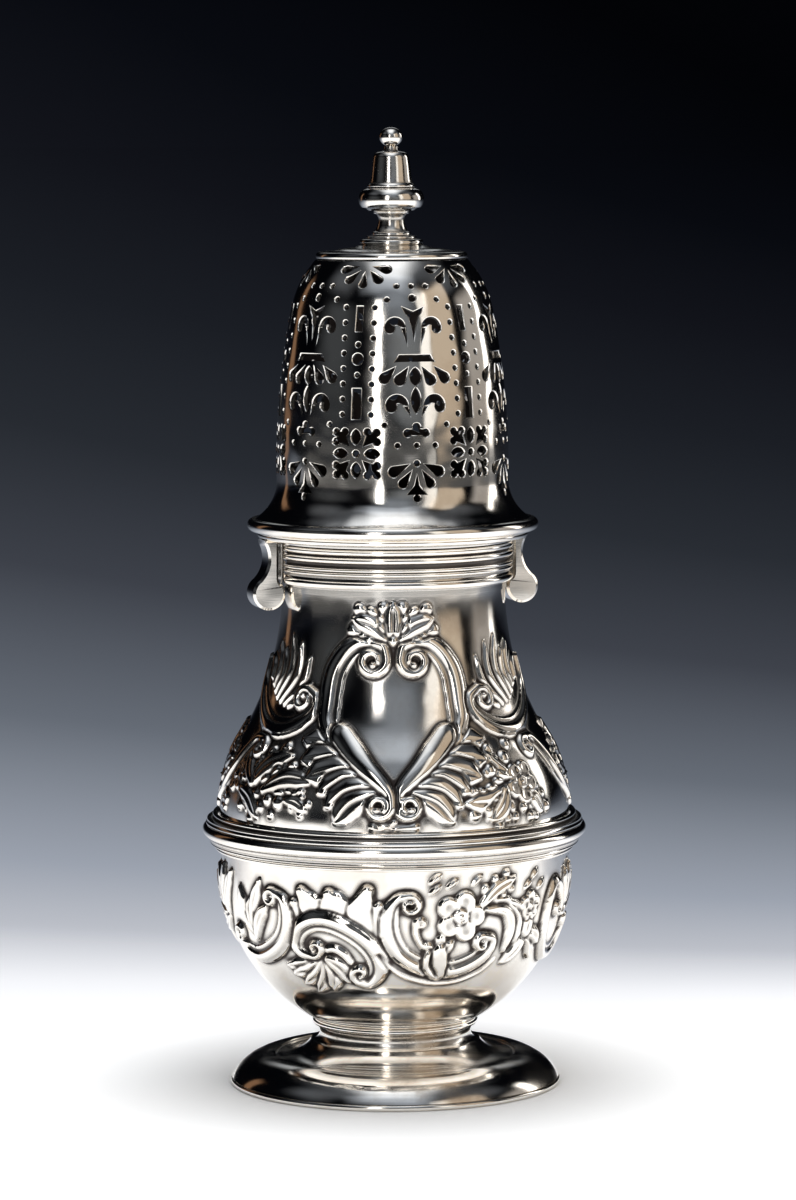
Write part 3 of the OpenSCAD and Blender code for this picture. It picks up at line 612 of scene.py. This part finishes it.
# Neck mouldings: a reeded band round the mouth and a stout wire under it, each with two slots that let the
# hooks of the cover pass.
slot_turn, slot_half = 16, 8.9
slots = [(slot_turn, slot_half), (slot_turn + 180, slot_half)]
band_outline = [
    (neck_r, 0), (23.2, 0.02), *arc(24.1, 0.44, 0.7, 215, 145, 6), *arc(23.6, 1.27, 0.35, -80, 80, 8),
    (23.42, 1.72), *arc(23.6, 2.14, 0.35, -80, 80, 8), (23.3, 2.52), (23.1, 2.97), (23.25, 3.4),
    *arc(23.38, 4.02, 0.62, -80, 80, 12), (23.2, 4.72), (23.2, 4.97),
    *arc(23.42, 5.64, 0.62, -80, 90, 12), (neck_r, 6.45),
]
turned("neck_band", "body", band_outline, plain_silver, 288, 0.4, slots)
wire_r, wire_up = 23.25, 2.3
wire_outline = [
    (neck_r, 0), (22.65, 0), (22.65, 1.42), *arc(wire_r, wire_up, 0.75, -130, 90, 14), (neck_r, 3.05),
]
turned("bayonet_wire", "body", wire_outline, plain_silver, 288, 0.4, slots)

# Cover: a plain sleeve slides into the neck, a ring soldered to it bears on the neck and carries the lugs,
# and a rolled moulding makes the edge.
bezel_outline = [(20.2, 0), (21, 0), (21, 14.6), (20.2, 14.6)]
turned("cover_bezel", "bezel", bezel_outline, plain_silver, 192)
seat_outline = [
    (21.3, 0), (23.95, 0), (24.05, 0.65), *arc(26.45, 1.33, 0.65, -90, 90, 12), (21.3, 1.98),
]
turned("seat_ring", "cover", seat_outline, plain_silver, 256, 0.5)
flange_outline = [(24.9, 0), *arc(27.85, 1.25, 1.25, -90, 70, 18), (27.95, 2.5), (24.9, 2.5)]
turned("cover_flange", "cover", flange_outline, plain_silver, 256, 0.5)

# Bayonet lugs: two drop-shaped hooks, cast and filed, with bevelled cheeks. They hang from the seat ring
# and reach under the bayonet wire when the cover is turned.
wire_z, lug_half, lug_bevel = neck_z + wire_up, 3, 0.5
lug_outline = (0, wire_z) + np.array([
    (24.35, 7.87), (24.35, 3.77), (24.35, 0.27), *arc(wire_r, 0, 1.05, 0, -80, 8),
    *arc(26.25, -2.7, 3.3, 149, 415, 34), *arc(32.35, 4.3, 6, 223, 152, 14), (27.1, 7.87),
])
run = np.roll(lug_outline, -1, 0) - np.roll(lug_outline, 1, 0)
inward = np.stack([-run[:, 1], run[:, 0]], 1) / np.hypot(*run.T)[:, None]
flat_half = lug_half - lug_bevel
for name, turn in (("bayonet_lug_right", slot_turn), ("bayonet_lug_left", slot_turn + 180)):
    a = math.radians(turn)
    points, count = [], len(lug_outline)
    for across, inset in ((-lug_half, lug_bevel), (-flat_half, 0), (flat_half, 0), (lug_half, lug_bevel)):
        for r, z in lug_outline + inset * inward:
            x, y = r * math.cos(a) - across * math.sin(a), r * math.sin(a) + across * math.cos(a)
            points.append((x, y, z))
    faces = [list(range(count)), list(range(4 * count - 1, 3 * count - 1, -1))]
    for base in range(0, 3 * count, count):
        for j in range(count):
            onward = (j + 1) % count
            faces.append((base + j, base + count + j, base + count + onward, base + onward))
    set_piece(name, "cover", points, faces, np.zeros(len(points)), chased_silver)

# Dome: raised from sheet a millimetre thick and pierced by hand with a saw, six wide panels with lilies and
# six narrow ones with slots. The sawn edges are bevelled, and the inside is left dull; the inside and the
# sawn walls are painted dark, as painted shade in the holes.
flare_z, crown_z = lowest("cover_dome") + 7.6, highest("cover_dome")
lean_z, crown_mid = flare_z + 3.5, flare_z + 29.94
dome_r, flare_curve, lean_curve, crown_curve, lean = 23.15, 8.92, 154, 20.506, 11.42
dome_profile = np.array(
    arc(dome_r + flare_curve, flare_z, flare_curve, 238.4, 180, 40) +
    [(dome_r, z) for z in np.linspace(flare_z + 0.37, lean_z - 0.33, 8)] +
    arc(dome_r - lean_curve, lean_z, lean_curve, 0, lean, 90) +
    arc(0, crown_mid, crown_curve, lean, 42.15, 50)[1:])
dome_run = np.concatenate([[0], np.cumsum(np.hypot(*np.diff(dome_profile, axis=0).T))])
dome_slope = np.gradient(dome_profile, dome_run, axis=0)
dome_slope /= np.hypot(*dome_slope.T)[:, None]


def circle(x, y, radius, cut=False, count=20):
    a = np.arange(count) * 2 * math.pi / count
    return np.stack([x + radius * np.cos(a), y + radius * np.sin(a)], 1), cut


def polygon(*corners):
    return np.array(corners, float), False


def block(wide, tall):
    """A slot with slightly rounded corners."""
    w, h, e = wide / 2, tall / 2, 0.15
    return [polygon((-w + e, -h), (w - e, -h), (w, -h + e), (w, h - e),
                    (w - e, h), (-w + e, h), (-w, h - e), (-w, -h + e))]


def placed(figure, x=0, y=0, turn=0, flip=1):
    """The figure turned, mirrored and moved."""
    c, s = math.cos(math.radians(turn)), math.sin(math.radians(turn))
    rotate = np.array([[c, s], [-s, c]])
    return [((points @ rotate + (x, y)) * (flip, 1), cut) for points, cut in figure]


def drop(length, wide):
    """A drop with its tip at the origin and its round end down."""
    end, r = length - wide / 2, wide / 2
    tilt = math.asin(r / end)
    a = np.linspace(math.pi - tilt, 2 * math.pi + tilt, 14)
    return [(np.vstack([[(0, 0)], np.stack([r * np.cos(a), r * np.sin(a) - end], 1)]), False)]


def pointed_oval(length, wide):
    r = ((length / 2) ** 2 + (wide / 2) ** 2) / wide
    a = np.linspace(-1, 1, 12) * math.asin(length / 2 / r)
    side = np.stack([r * np.cos(a) - r + wide / 2, r * np.sin(a)], 1)
    return [(np.vstack([side[:-1], -side[:-1]]), False)]


def curl(r, tail):
    """A lily's leaf that rolls outwards and runs down to a tail."""
    a = np.linspace(0, math.pi, 16)
    half_disc = np.stack([r * np.cos(a), r * np.sin(a)], 1)
    return [(half_disc, False), polygon((-r, 0), (r * tail[0], r * tail[1]), (-0.5 * r, 0)),
            circle(-0.12 * r, -0.2 * r, 0.4 * r, True), circle(0.46 * r, -0.06 * r, 0.52 * r)]


def lily(r, tail, apart):
    return placed(curl(r, tail), apart, 0), placed(curl(r, tail), apart, 0, flip=-1)


def split_spear(w, h):
    blade = polygon((-w / 2, 0), (0, -0.14 * h), (w / 2, 0), (0.11 * w, -0.55 * h), (0, -h),
                    (-0.11 * w, -0.55 * h))
    hollows = [circle(side * 0.62 * w, -0.46 * h, 0.46 * w, True) for side in (-1, 1)]
    return [blade] + hollows


def trefoil(r):
    lobes = [circle(x * r, y * r, r) for x, y in ((-1.9, -0.5), (0, 0.75), (1.9, -0.5))]
    low, high, side = -1.1 * r, 0.4 * r, 1.5 * r
    return lobes + [polygon((-side, low), (side, low), (side, high), (-side, high))]


def corner_leaf(s):
    lobes = [circle(x * s, y * s, 0.25 * s) for x, y in ((0.3, 0.82), (0.8, 0.8), (0.82, 0.3))]
    return lobes + [polygon((0, 0), (0.9 * s, 0.3 * s), (0.8 * s, 0.8 * s), (0.3 * s, 0.9 * s))]


def lily_panel():
    """The figures of a wide panel, each with its way round and height up the wall."""
    dots = [(-2.9, 39), (0, 39), (2.9, 39), (-5, 36.4), (5, 36.4), (-6.3, 12.1), (6.3, 12.1), (-3.8, 8.1),
            (0, 8.1), (3.8, 8.1)]
    for way, up in dots:
        yield way, up, [circle(0, 0, 0.68)]
    yield 0, 36.7, [circle(0, 0, 0.9)]
    yield 0, 35.2, split_spear(4.8, 7.2)
    for figure in lily(2.2, (-1.1, -1.75), 3.7):
        yield 0, 31, figure
    yield 0, 25, [polygon((-4.2, -0.8), (4.2, -0.8), (3.2, 0.85), (-3.2, 0.85))]
    yield 0, 21.5, pointed_oval(3.9, 2.6)
    for place, turn in ((1.2, 34), (3.7, 44)):
        for flip in (-1, 1):
            yield 0, 23.6, placed(placed(drop(4.6, 2.5), turn=turn), place, flip=flip)
    yield 0, 16.9, pointed_oval(5.6, 2.3)
    for figure in lily(2.4, (-1.15, -0.95), 3.8):
        yield 0, 15.8, figure
    yield 0, 11, trefoil(0.95)
    h = 8.6
    yield 0, 4.6, [circle(0, 0, 0.09 * h)]
    for flip in (-1, 1):
        yield 0, 4.6, placed(placed(drop(0.58 * h, 0.29 * h), turn=64), 0.14 * h, 0, flip=flip)
        yield 0, 4.6, placed(placed(drop(0.52 * h, 0.25 * h), turn=34), 0.1 * h, -0.13 * h, flip=flip)
    fan = polygon((0, 0), (0.07 * h, -0.3 * h), (0.25 * h, -0.52 * h), (-0.25 * h, -0.52 * h),
                  (-0.07 * h, -0.3 * h))
    yield 0, 4.6 - 0.2 * h, [fan]
    yield 0, 4.6 - 0.79 * h, [circle(0, 0, 0.1 * h)]


def slot_panel():
    """The figures of a narrow panel."""
    yield 0, 32.7, block(1.7, 5.3)
    yield 0, 16.2, block(2.2, 6.3)
    for up, size in ((27.7, 0.7), (24.9, 1.3), (21.8, 0.65)):
        yield 0, up, [circle(0, 0, size)]
    for row in range(8):
        for side in (-1, 1):
            yield 2.95 * side, 34.9 - 2.97 * row, [circle(0, 0, 0.68)]
    w = 10.2
    yield 0, 6.5, [circle(0, 0, 0.085 * w)]
    for quarter in (0, 90, 180, 270):
        yield 0, 6.5, placed(placed(pointed_oval(0.34 * w, 0.23 * w), 0, 0.32 * w), turn=quarter)
        yield 0, 6.5, placed(placed(corner_leaf(0.36 * w), 0.12 * w, 0.12 * w), turn=quarter)
    for place in range(-2, 3):
        petal = drop(4.1, 1.7 + 0.25 * abs(place))
        yield 0, crown_z - flare_z - 0.7, placed(placed(petal, 0, -1.2), turn=38 * place)


def flat(turn, run):
    """Where a place on the dome lies in the plane: the dome opened out like a daisy, true in its angles."""
    far = crown_edge * np.exp((dome_run[-1] - run) / crown_edge)
    return np.stack([far * np.cos(turn), far * np.sin(turn)], -1)


# the outlines of the figures in the plane, anticlockwise
crown_edge, end_gap = 22, 0.2
outlines, figure_of, cut_of = [], [], []
figures = 0
for panel in range(6):
    for drawing, start in ((lily_panel, 12), (slot_panel, 42)):
        for way, up, figure in drawing():
            z = flare_z + up
            r = np.interp(z, dome_profile[:, 1], dome_profile[:, 0])
            along = np.interp(z, dome_profile[:, 1], dome_run)
            for points, cut in figure:
                turn = math.radians(start + 60 * panel) + (way + points[:, 0]) / r
                outline = flat(turn, np.clip(along + points[:, 1], end_gap, dome_run[-1] - end_gap))
                onward = np.roll(outline, -1, 0)
                area = (outline[:, 0] * onward[:, 1] - outline[:, 1] * onward[:, 0]).sum()
                outlines.append(outline if area > 0 else outline[::-1])
                figure_of.append(figures)
                cut_of.append(cut)
            figures += 1
# the plane cut into triangles along these outlines and over even rows of points
ring_count, flare_run = 220, 9
ring = np.arange(ring_count) * 2 * math.pi / ring_count
levels = [*np.linspace(0, flare_run, 16, endpoint=False), *np.linspace(flare_run, dome_run[-1], 62)]
half_step = math.pi / ring_count
spread = np.concatenate([flat(ring + k % 2 * half_step, np.full(ring_count, run))
                         for k, run in enumerate(levels)])
hole_faces, used = [], len(spread)
for outline in outlines:
    hole_faces.append(list(range(used, used + len(outline))))
    used += len(outline)
places, _, triangles, _, _, insides = delaunay_2d_cdt(
    np.concatenate([spread, *outlines]).tolist(), [], hole_faces, 0, 1e-5)
places = np.array([tuple(p) for p in places])
far = np.hypot(*places.T)
turn = np.arctan2(places[:, 1], places[:, 0])
along = np.clip(dome_run[-1] - crown_edge * np.log(far / crown_edge), 0, dome_run[-1])
# the triangles that lie in no hole, and the edges that have a triangle on one side only
kept = []
for triangle, inside in zip(triangles, insides):
    last = {}
    for outline in sorted(inside):
        last[figure_of[outline]] = cut_of[outline]
    if all(last.values()) and far[list(triangle)].max() > crown_edge + 0.05:
        kept.append(triangle)
kept = np.array(kept)
x, y = places[kept][..., 0], places[kept][..., 1]
area = (x[:, 1] - x[:, 0]) * (y[:, 2] - y[:, 0]) - (x[:, 2] - x[:, 0]) * (y[:, 1] - y[:, 0])
kept[area < 0] = kept[area < 0][:, ::-1]
edge_count = {}
for a, b, c in kept.tolist():
    for edge in ((a, b), (b, c), (c, a)):
        edge_count[edge] = edge_count.get(edge, 0) + 1
rim = [edge for edge in edge_count if edge[::-1] not in edge_count]


def dome_sides(turn, along):
    """The place on the dome's outside and its outward, sideways and upward directions."""
    r, z = (np.interp(along, dome_run, dome_profile[:, k]) for k in (0, 1))
    dr, dz = (np.interp(along, dome_run, dome_slope[:, k]) for k in (0, 1))
    s, c, none = np.sin(turn), -np.cos(turn), np.zeros(len(turn))
    place, upward = np.stack([r * s, r * c, z], 1), np.stack([dr * s, dr * c, dz], 1)
    return place, np.stack([dz * s, dz * c, -dr], 1), np.stack([-c, s, none], 1), upward, r


def unit(vectors):
    return vectors / np.maximum(np.linalg.norm(vectors, axis=1), 1e-9)[:, None]


# the sheet's thickness, and the bevelled walls of the holes
outer, out, across, upward, radius = dome_sides(turn, along)
first, second = np.array(rim).T
step_round = ((turn[second] - turn[first] + math.pi) % (2 * math.pi) - math.pi) * radius[first]
step_up = along[second] - along[first]
at_crown = far < crown_edge + 0.001
at_foot = along < 0.01
at_end = at_foot[first] & at_foot[second] | at_crown[first] & at_crown[second]
into_hole = np.zeros((len(outer), 3))
for which in (first, second):
    np.add.at(into_hole, which[~at_end], unit(step_up[~at_end, None] * across[first[~at_end]]
                                              - step_round[~at_end, None] * upward[first[~at_end]]))
into_hole = unit(into_hole)
sheet_in, bevel, bevel_deep = 1.0, 0.2, 0.2
inner = outer - sheet_in * out + bevel * into_hole
rim_points = np.unique(np.array(rim))
spot_of = np.full(len(outer), -1)
spot_of[rim_points] = np.arange(len(rim_points))
mid = (outer + bevel * into_hole - bevel_deep * out)[rim_points]
facing = unit(into_hole + 0.001 * out)[rim_points]
lip, throat = unit(0.5 * into_hole + out)[rim_points], unit(into_hole + 0.5 * out)[rim_points]
dome_points = np.vstack([outer, inner, outer[rim_points], mid, mid, inner[rim_points]])
dome_normals = np.vstack([out, -out, lip, throat, facing, facing])
total, edge_total = len(outer), len(rim_points)
dome_faces = kept.tolist() + (kept[:, ::-1] + total).tolist()
base = 2 * total + np.arange(4) * edge_total
a, b = spot_of[first], spot_of[second]
for top, under in ((base[0], base[1]), (base[2], base[3])):
    dome_faces += np.stack([b + top, a + top, a + under, b + under], 1).tolist()
# the inside of the dome and the walls of its holes are darkened by the recess colour: painted shade
painted_shade_inside, painted_shade_edge = 1, 0.6
dome_recess = np.repeat([0, painted_shade_inside, 0, painted_shade_edge], [total, total, 2 * edge_total, 2 * edge_total])
dome_silver = silver("pierced_silver", film=0.4, polish=0.085, dent=0.3)
set_piece("cover_dome", "cover", dome_points, dome_faces, dome_recess, dome_silver, dome_normals)

# Cap and finial: a turned disc with a rounded edge, a ringed spool, a knop that carries a bell, and a ball,
# all threaded on a peg that is soldered into the crown.
peg_hole = 0.85
cap_outline = [
    (peg_hole, 0), *arc(14.3, 0.8, 0.8, -90, 90, 14), (13.6, 1.65), (11, 1.92), (10.6, 2.12), (8.4, 2.37),
    (7, 2.67), (6.3, 3), (peg_hole, 3),
]
turned("cap_plate", "cover", cap_outline, plain_silver, 192, 0.6)
spool_outline = [
    (peg_hole, 0), *arc(5.75, 0.55, 0.55, -90, 90, 10), (5.1, 1.13), *arc(4.75, 1.43, 0.3, -60, 90, 6),
    (4.1, 1.73), (4, 1.79), *arc(3.55, 2.15, 0.4, -60, 70, 8), (3.4, 2.62), (3.1, 3.07), (2.8, 3.77),
    (2.62, 4.47), (2.58, 4.87), (2.65, 5.37), (2.85, 5.87), (3.1, 6.07),
    *arc(3.25, 6.43, 0.36, -70, 70, 8), (3.2, 6.8), (peg_hole, 6.8),
]
turned("finial_spool", "cover", spool_outline, plain_silver, 128, 0.4)
bell_outline = [
    (peg_hole, 0), (4.6, 0), (5.05, 0.37), *arc(4.1, 2.22, 2.43, -42, 50, 14), (4.95, 4.32), (4.78, 4.4),
    *arc(4.42, 4.82, 0.36, -60, 75, 8), (4.25, 5.42), (4.05, 6.47), (3.9, 7.77), (3.82, 8.77), (3.66, 9.87),
    *arc(2.3, 10.27, 1.3, 5, 85, 10), (1.6, 11.72), (1.4, 12.07), (1.4, 12.6), (peg_hole, 12.6),
]
turned("finial_bell", "cover", bell_outline, plain_silver, 128, 0.4)
ball_r, ball_half = 2.35, 1.9
ball_mid = highest("finial_peg") - lowest("finial_ball")
ball_swing = np.linspace(-1.1, 1.55, 24)
ball_outline = [
    (peg_hole, ball_mid - 1.87),
    *zip(ball_r * np.cos(ball_swing), ball_mid + ball_half * np.sin(ball_swing)),
    (0.05, ball_mid), (peg_hole, ball_mid),
]
turned("finial_ball", "cover", ball_outline, plain_silver, 96, 0.4)
# the peg is hidden, so its solid serves as it is
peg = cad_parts["finial_peg"]
peg.data.materials.clear()
peg.data.materials.append(plain_silver)

# Studio: a white paper that runs back into a dark blue room. A soft box hangs over the caster, a strip
# light stands beside the camera, and a pale screen, a beige wall and a window stand to the right.
camera_far, camera_high = 0.972, 0.1895
floor_mesh = bpy.data.meshes.new("floor")
floor_mesh.from_pydata([(-60, -20, 0), (60, -20, 0), (60, 100, 0), (-60, 100, 0)], [], [(0, 1, 2, 3)])
floor = bpy.data.objects.new("floor", floor_mesh)
bpy.context.scene.collection.objects.link(floor)
paper = bpy.data.materials.new("paper")
paper.use_nodes = True
floor_mesh.materials.append(paper)
# shades of the paper and of the room behind it, from the dark end to the white one; on the paper they are a
# painted fall-off of the light
dark_end = -0.15
room_light = [
    (dark_end, (0.0008, 0.001, 0.0017)), (0, (0.0026, 0.0032, 0.0052)), (0.121, (0.0062, 0.007, 0.0105)),
    (0.25, (0.0115, 0.0135, 0.0185)), (0.39, (0.021, 0.0245, 0.0315)), (0.525, (0.044, 0.049, 0.062)),
    (0.67, (0.115, 0.13, 0.156)), (0.81, (0.28, 0.305, 0.355)), (0.873, (0.42, 0.435, 0.475)),
    (0.926, (0.77, 0.775, 0.8)), (0.984, (1, 1, 1)),
]


def room_colour(tree, place):
    """The colour of the paper and the room behind it, from a place between its dark and its white end."""
    share = maths(tree, "DIVIDE", maths(tree, "SUBTRACT", place, dark_end), 1 - dark_end)
    ramp = add_node(tree, "ValToRGB", {"Fac": share})
    stops = ramp.color_ramp.elements
    shares = [(stop - dark_end) / (1 - dark_end) for stop, shade in room_light]
    for position in shares[1:-1]:
        stops.new(position)
    for element, position, (stop, shade) in zip(stops, shares, room_light):
        element.position = position
        element.color = (*shade, 1)
    return ramp.outputs["Color"]


def left_share(tree, slope, steep=-1.6, most=0.13):
    """How much lighter the room is at a slope to the left of the middle, or darker to the right."""
    return maths(tree, "MAXIMUM", maths(tree, "MINIMUM", maths(tree, "MULTIPLY", slope, steep), most), -most)


def multiplied(tree, colour, other):
    return add_node(tree, "Mix", {"Factor": 1, "A": colour, "B": other},
                    data_type="RGBA", blend_type="MULTIPLY").outputs["Result"]


# the paper is white near the caster, with a painted pool of light that dims far to the front and the sides,
# and a painted fall-off of the light into the room
tree = paper.node_tree
sheen = tree.nodes["Principled BSDF"].inputs
sheen["Roughness"].default_value = 0.9
sheen["Specular IOR Level"].default_value = 0
where = add_node(tree, "TexCoord").outputs["Object"]
apart = add_node(tree, "SeparateXYZ", {"Vector": where}).outputs
from_camera = maths(tree, "MAXIMUM", maths(tree, "ADD", apart["Y"], camera_far), 0.5)
near = maths(tree, "DIVIDE", 1, from_camera)
aside = left_share(tree, maths(tree, "MULTIPLY", apart["X"], near))
away = maths(tree, "MULTIPLY", aside, maths(tree, "SUBTRACT", 1, near))
fall = room_colour(tree, maths(tree, "ADD", near, away))
sideways = maths(tree, "MULTIPLY", apart["X"], maths(tree, "MINIMUM", near, 1))
forward = maths(tree, "MINIMUM", apart["Y"], 0)
spot = add_node(tree, "CombineXYZ", {"X": sideways, "Y": forward}).outputs["Vector"]
reach = add_node(tree, "VectorMath", {0: spot}, operation="LENGTH").outputs["Value"]
pool = add_node(tree, "MapRange", interpolation_type="SMOOTHSTEP",
                inputs={"Value": reach, "From Min": 0.45, "From Max": 1.5, "To Min": 1, "To Max": 0.06})
shaded = multiplied(tree, fall, pool.outputs["Result"])
# the paper glows for the camera and in reflections, and its glow is darkened near the caster by ambient
# occlusion: a painted contact shadow
contact_shadow = add_node(tree, "AmbientOcclusion", {"Distance": 0.05}).outputs["AO"]
path = add_node(tree, "LightPath").outputs
seen = maths(tree, "MULTIPLY_ADD", path["Is Camera Ray"], 0.95, path["Is Glossy Ray"])
tree.links.new(shaded, sheen["Base Color"])
tree.links.new(multiplied(tree, shaded, maths(tree, "POWER", contact_shadow, 2.8)), sheen["Emission Color"])
tree.links.new(seen, sheen["Emission Strength"])

world = bpy.data.worlds.new("room")
bpy.context.scene.world = world
world.use_nodes = True
tree = world.node_tree
where = add_node(tree, "TexCoord").outputs["Generated"]
apart = add_node(tree, "SeparateXYZ", {"Vector": where}).outputs
rise = maths(tree, "MULTIPLY", apart["Z"], -3.4)
backdrop = room_colour(tree, maths(tree, "ADD", left_share(tree, apart["X"]), rise))
tree.links.new(backdrop, tree.nodes["Background"].inputs["Color"])


def lamp(name, turn, height, far, wide, tall, bright, tint, soft=0.4, aim=0.12):
    """A flat light at a direction in degrees from the front towards the right, facing the caster. It fades
    towards its edges, over a share of the way to its middle."""
    data = bpy.data.lights.new(name, "AREA")
    data.shape, data.size, data.size_y = "RECTANGLE", wide, tall
    data.energy, data.color = bright * math.pi * wide * tall, tint
    data.use_nodes = True
    tree = data.node_tree
    place = add_node(tree, "NewGeometry").outputs["Parametric"]
    apart = add_node(tree, "SeparateXYZ", {"Vector": place}).outputs
    fades = []
    for axis in "XY":
        fade = add_node(tree, "MapRange", interpolation_type="SMOOTHSTEP",
                        inputs={"Value": maths(tree, "PINGPONG", apart[axis], 0.5), "From Max": 0.5 * soft})
        fades.append(fade.outputs["Result"])
    tree.links.new(maths(tree, "MULTIPLY", *fades), tree.nodes["Emission"].inputs["Strength"])
    light = bpy.data.objects.new(name, data)
    a = math.radians(turn)
    light.location = (far * math.sin(a), -far * math.cos(a), height)
    light.rotation_euler = (math.pi / 2 + math.atan2(aim - height, far), 0, a)
    bpy.context.scene.collection.objects.link(light)


# each with its direction, height and distance, its width and height, and its brightness, tint and softness
lamp("soft_box", 0, 1.0, 0.04, 0.85, 1.3, 1.15, (0.91, 0.95, 1), 0.85)
lamp("ceiling", 0, 1.7, 0.02, 2.6, 2.6, 0.13, (0.82, 0.89, 1), 0.7)
lamp("front_glow", 5, 0.85, 1.0, 1.3, 1.1, 0.24, (0.78, 0.87, 1), 0.9)
lamp("high_glow", -4, 1.35, 0.8, 1.7, 0.8, 0.42, (0.8, 0.88, 1), 0.7)
lamp("strip", -14.5, 0.46, 1.15, 0.2, 1.0, 3.6, (1, 0.99, 0.98), 0.35)
lamp("strip_glow", -16, 0.46, 1.2, 0.6, 1.0, 0.24, (1, 0.99, 0.98), 1)
lamp("left_ceiling", -80, 1.15, 1.0, 1.3, 0.9, 0.09, (0.82, 0.89, 1), 0.9)
lamp("right_ceiling", 80, 1.15, 1.0, 1.3, 0.9, 0.09, (0.82, 0.89, 1), 0.9)
lamp("left_wall", -64, 0.5, 1.5, 1.8, 1.1, 0.05, (0.86, 0.93, 1), 0.9)
lamp("front_fill", 16, 0.5, 1.75, 1.9, 1.0, 0.17, (0.88, 0.94, 1), 0.9)
lamp("pale_screen", 37, 0.6, 1.2, 0.3, 1.2, 1.0, (1, 0.97, 0.92), 0.3)
lamp("beige_wall", 58, 0.65, 1.25, 0.8, 1.3, 0.5, (1, 0.82, 0.63), 0.25)
lamp("window", 117, 0.45, 1.2, 0.24, 0.9, 2.3, (1, 0.99, 0.96), 0.4)
lamp("window_wall", 104, 0.4, 1.25, 1.1, 0.9, 0.34, (1, 0.93, 0.86), 0.5)
lamp("far_corner", -130, 0.35, 1.3, 0.24, 0.9, 0.2, (1, 0.55, 0.3), 0.5)
lamp("back_light", 180, 0.8, 1.5, 1.0, 0.6, 0.6, (0.9, 0.95, 1), 0.8)

camera_data = bpy.data.cameras.new("camera")
camera_data.lens = 146.4
camera = bpy.data.objects.new("camera", camera_data)
camera.location = (1.4 * mm, -camera_far, camera_high)
camera.rotation_euler = (math.radians(90 - 5.42), math.radians(0.27), 0)
bpy.context.scene.collection.objects.link(camera)
bpy.context.scene.camera = camera
bpy.context.scene.view_settings.view_transform = "Standard"
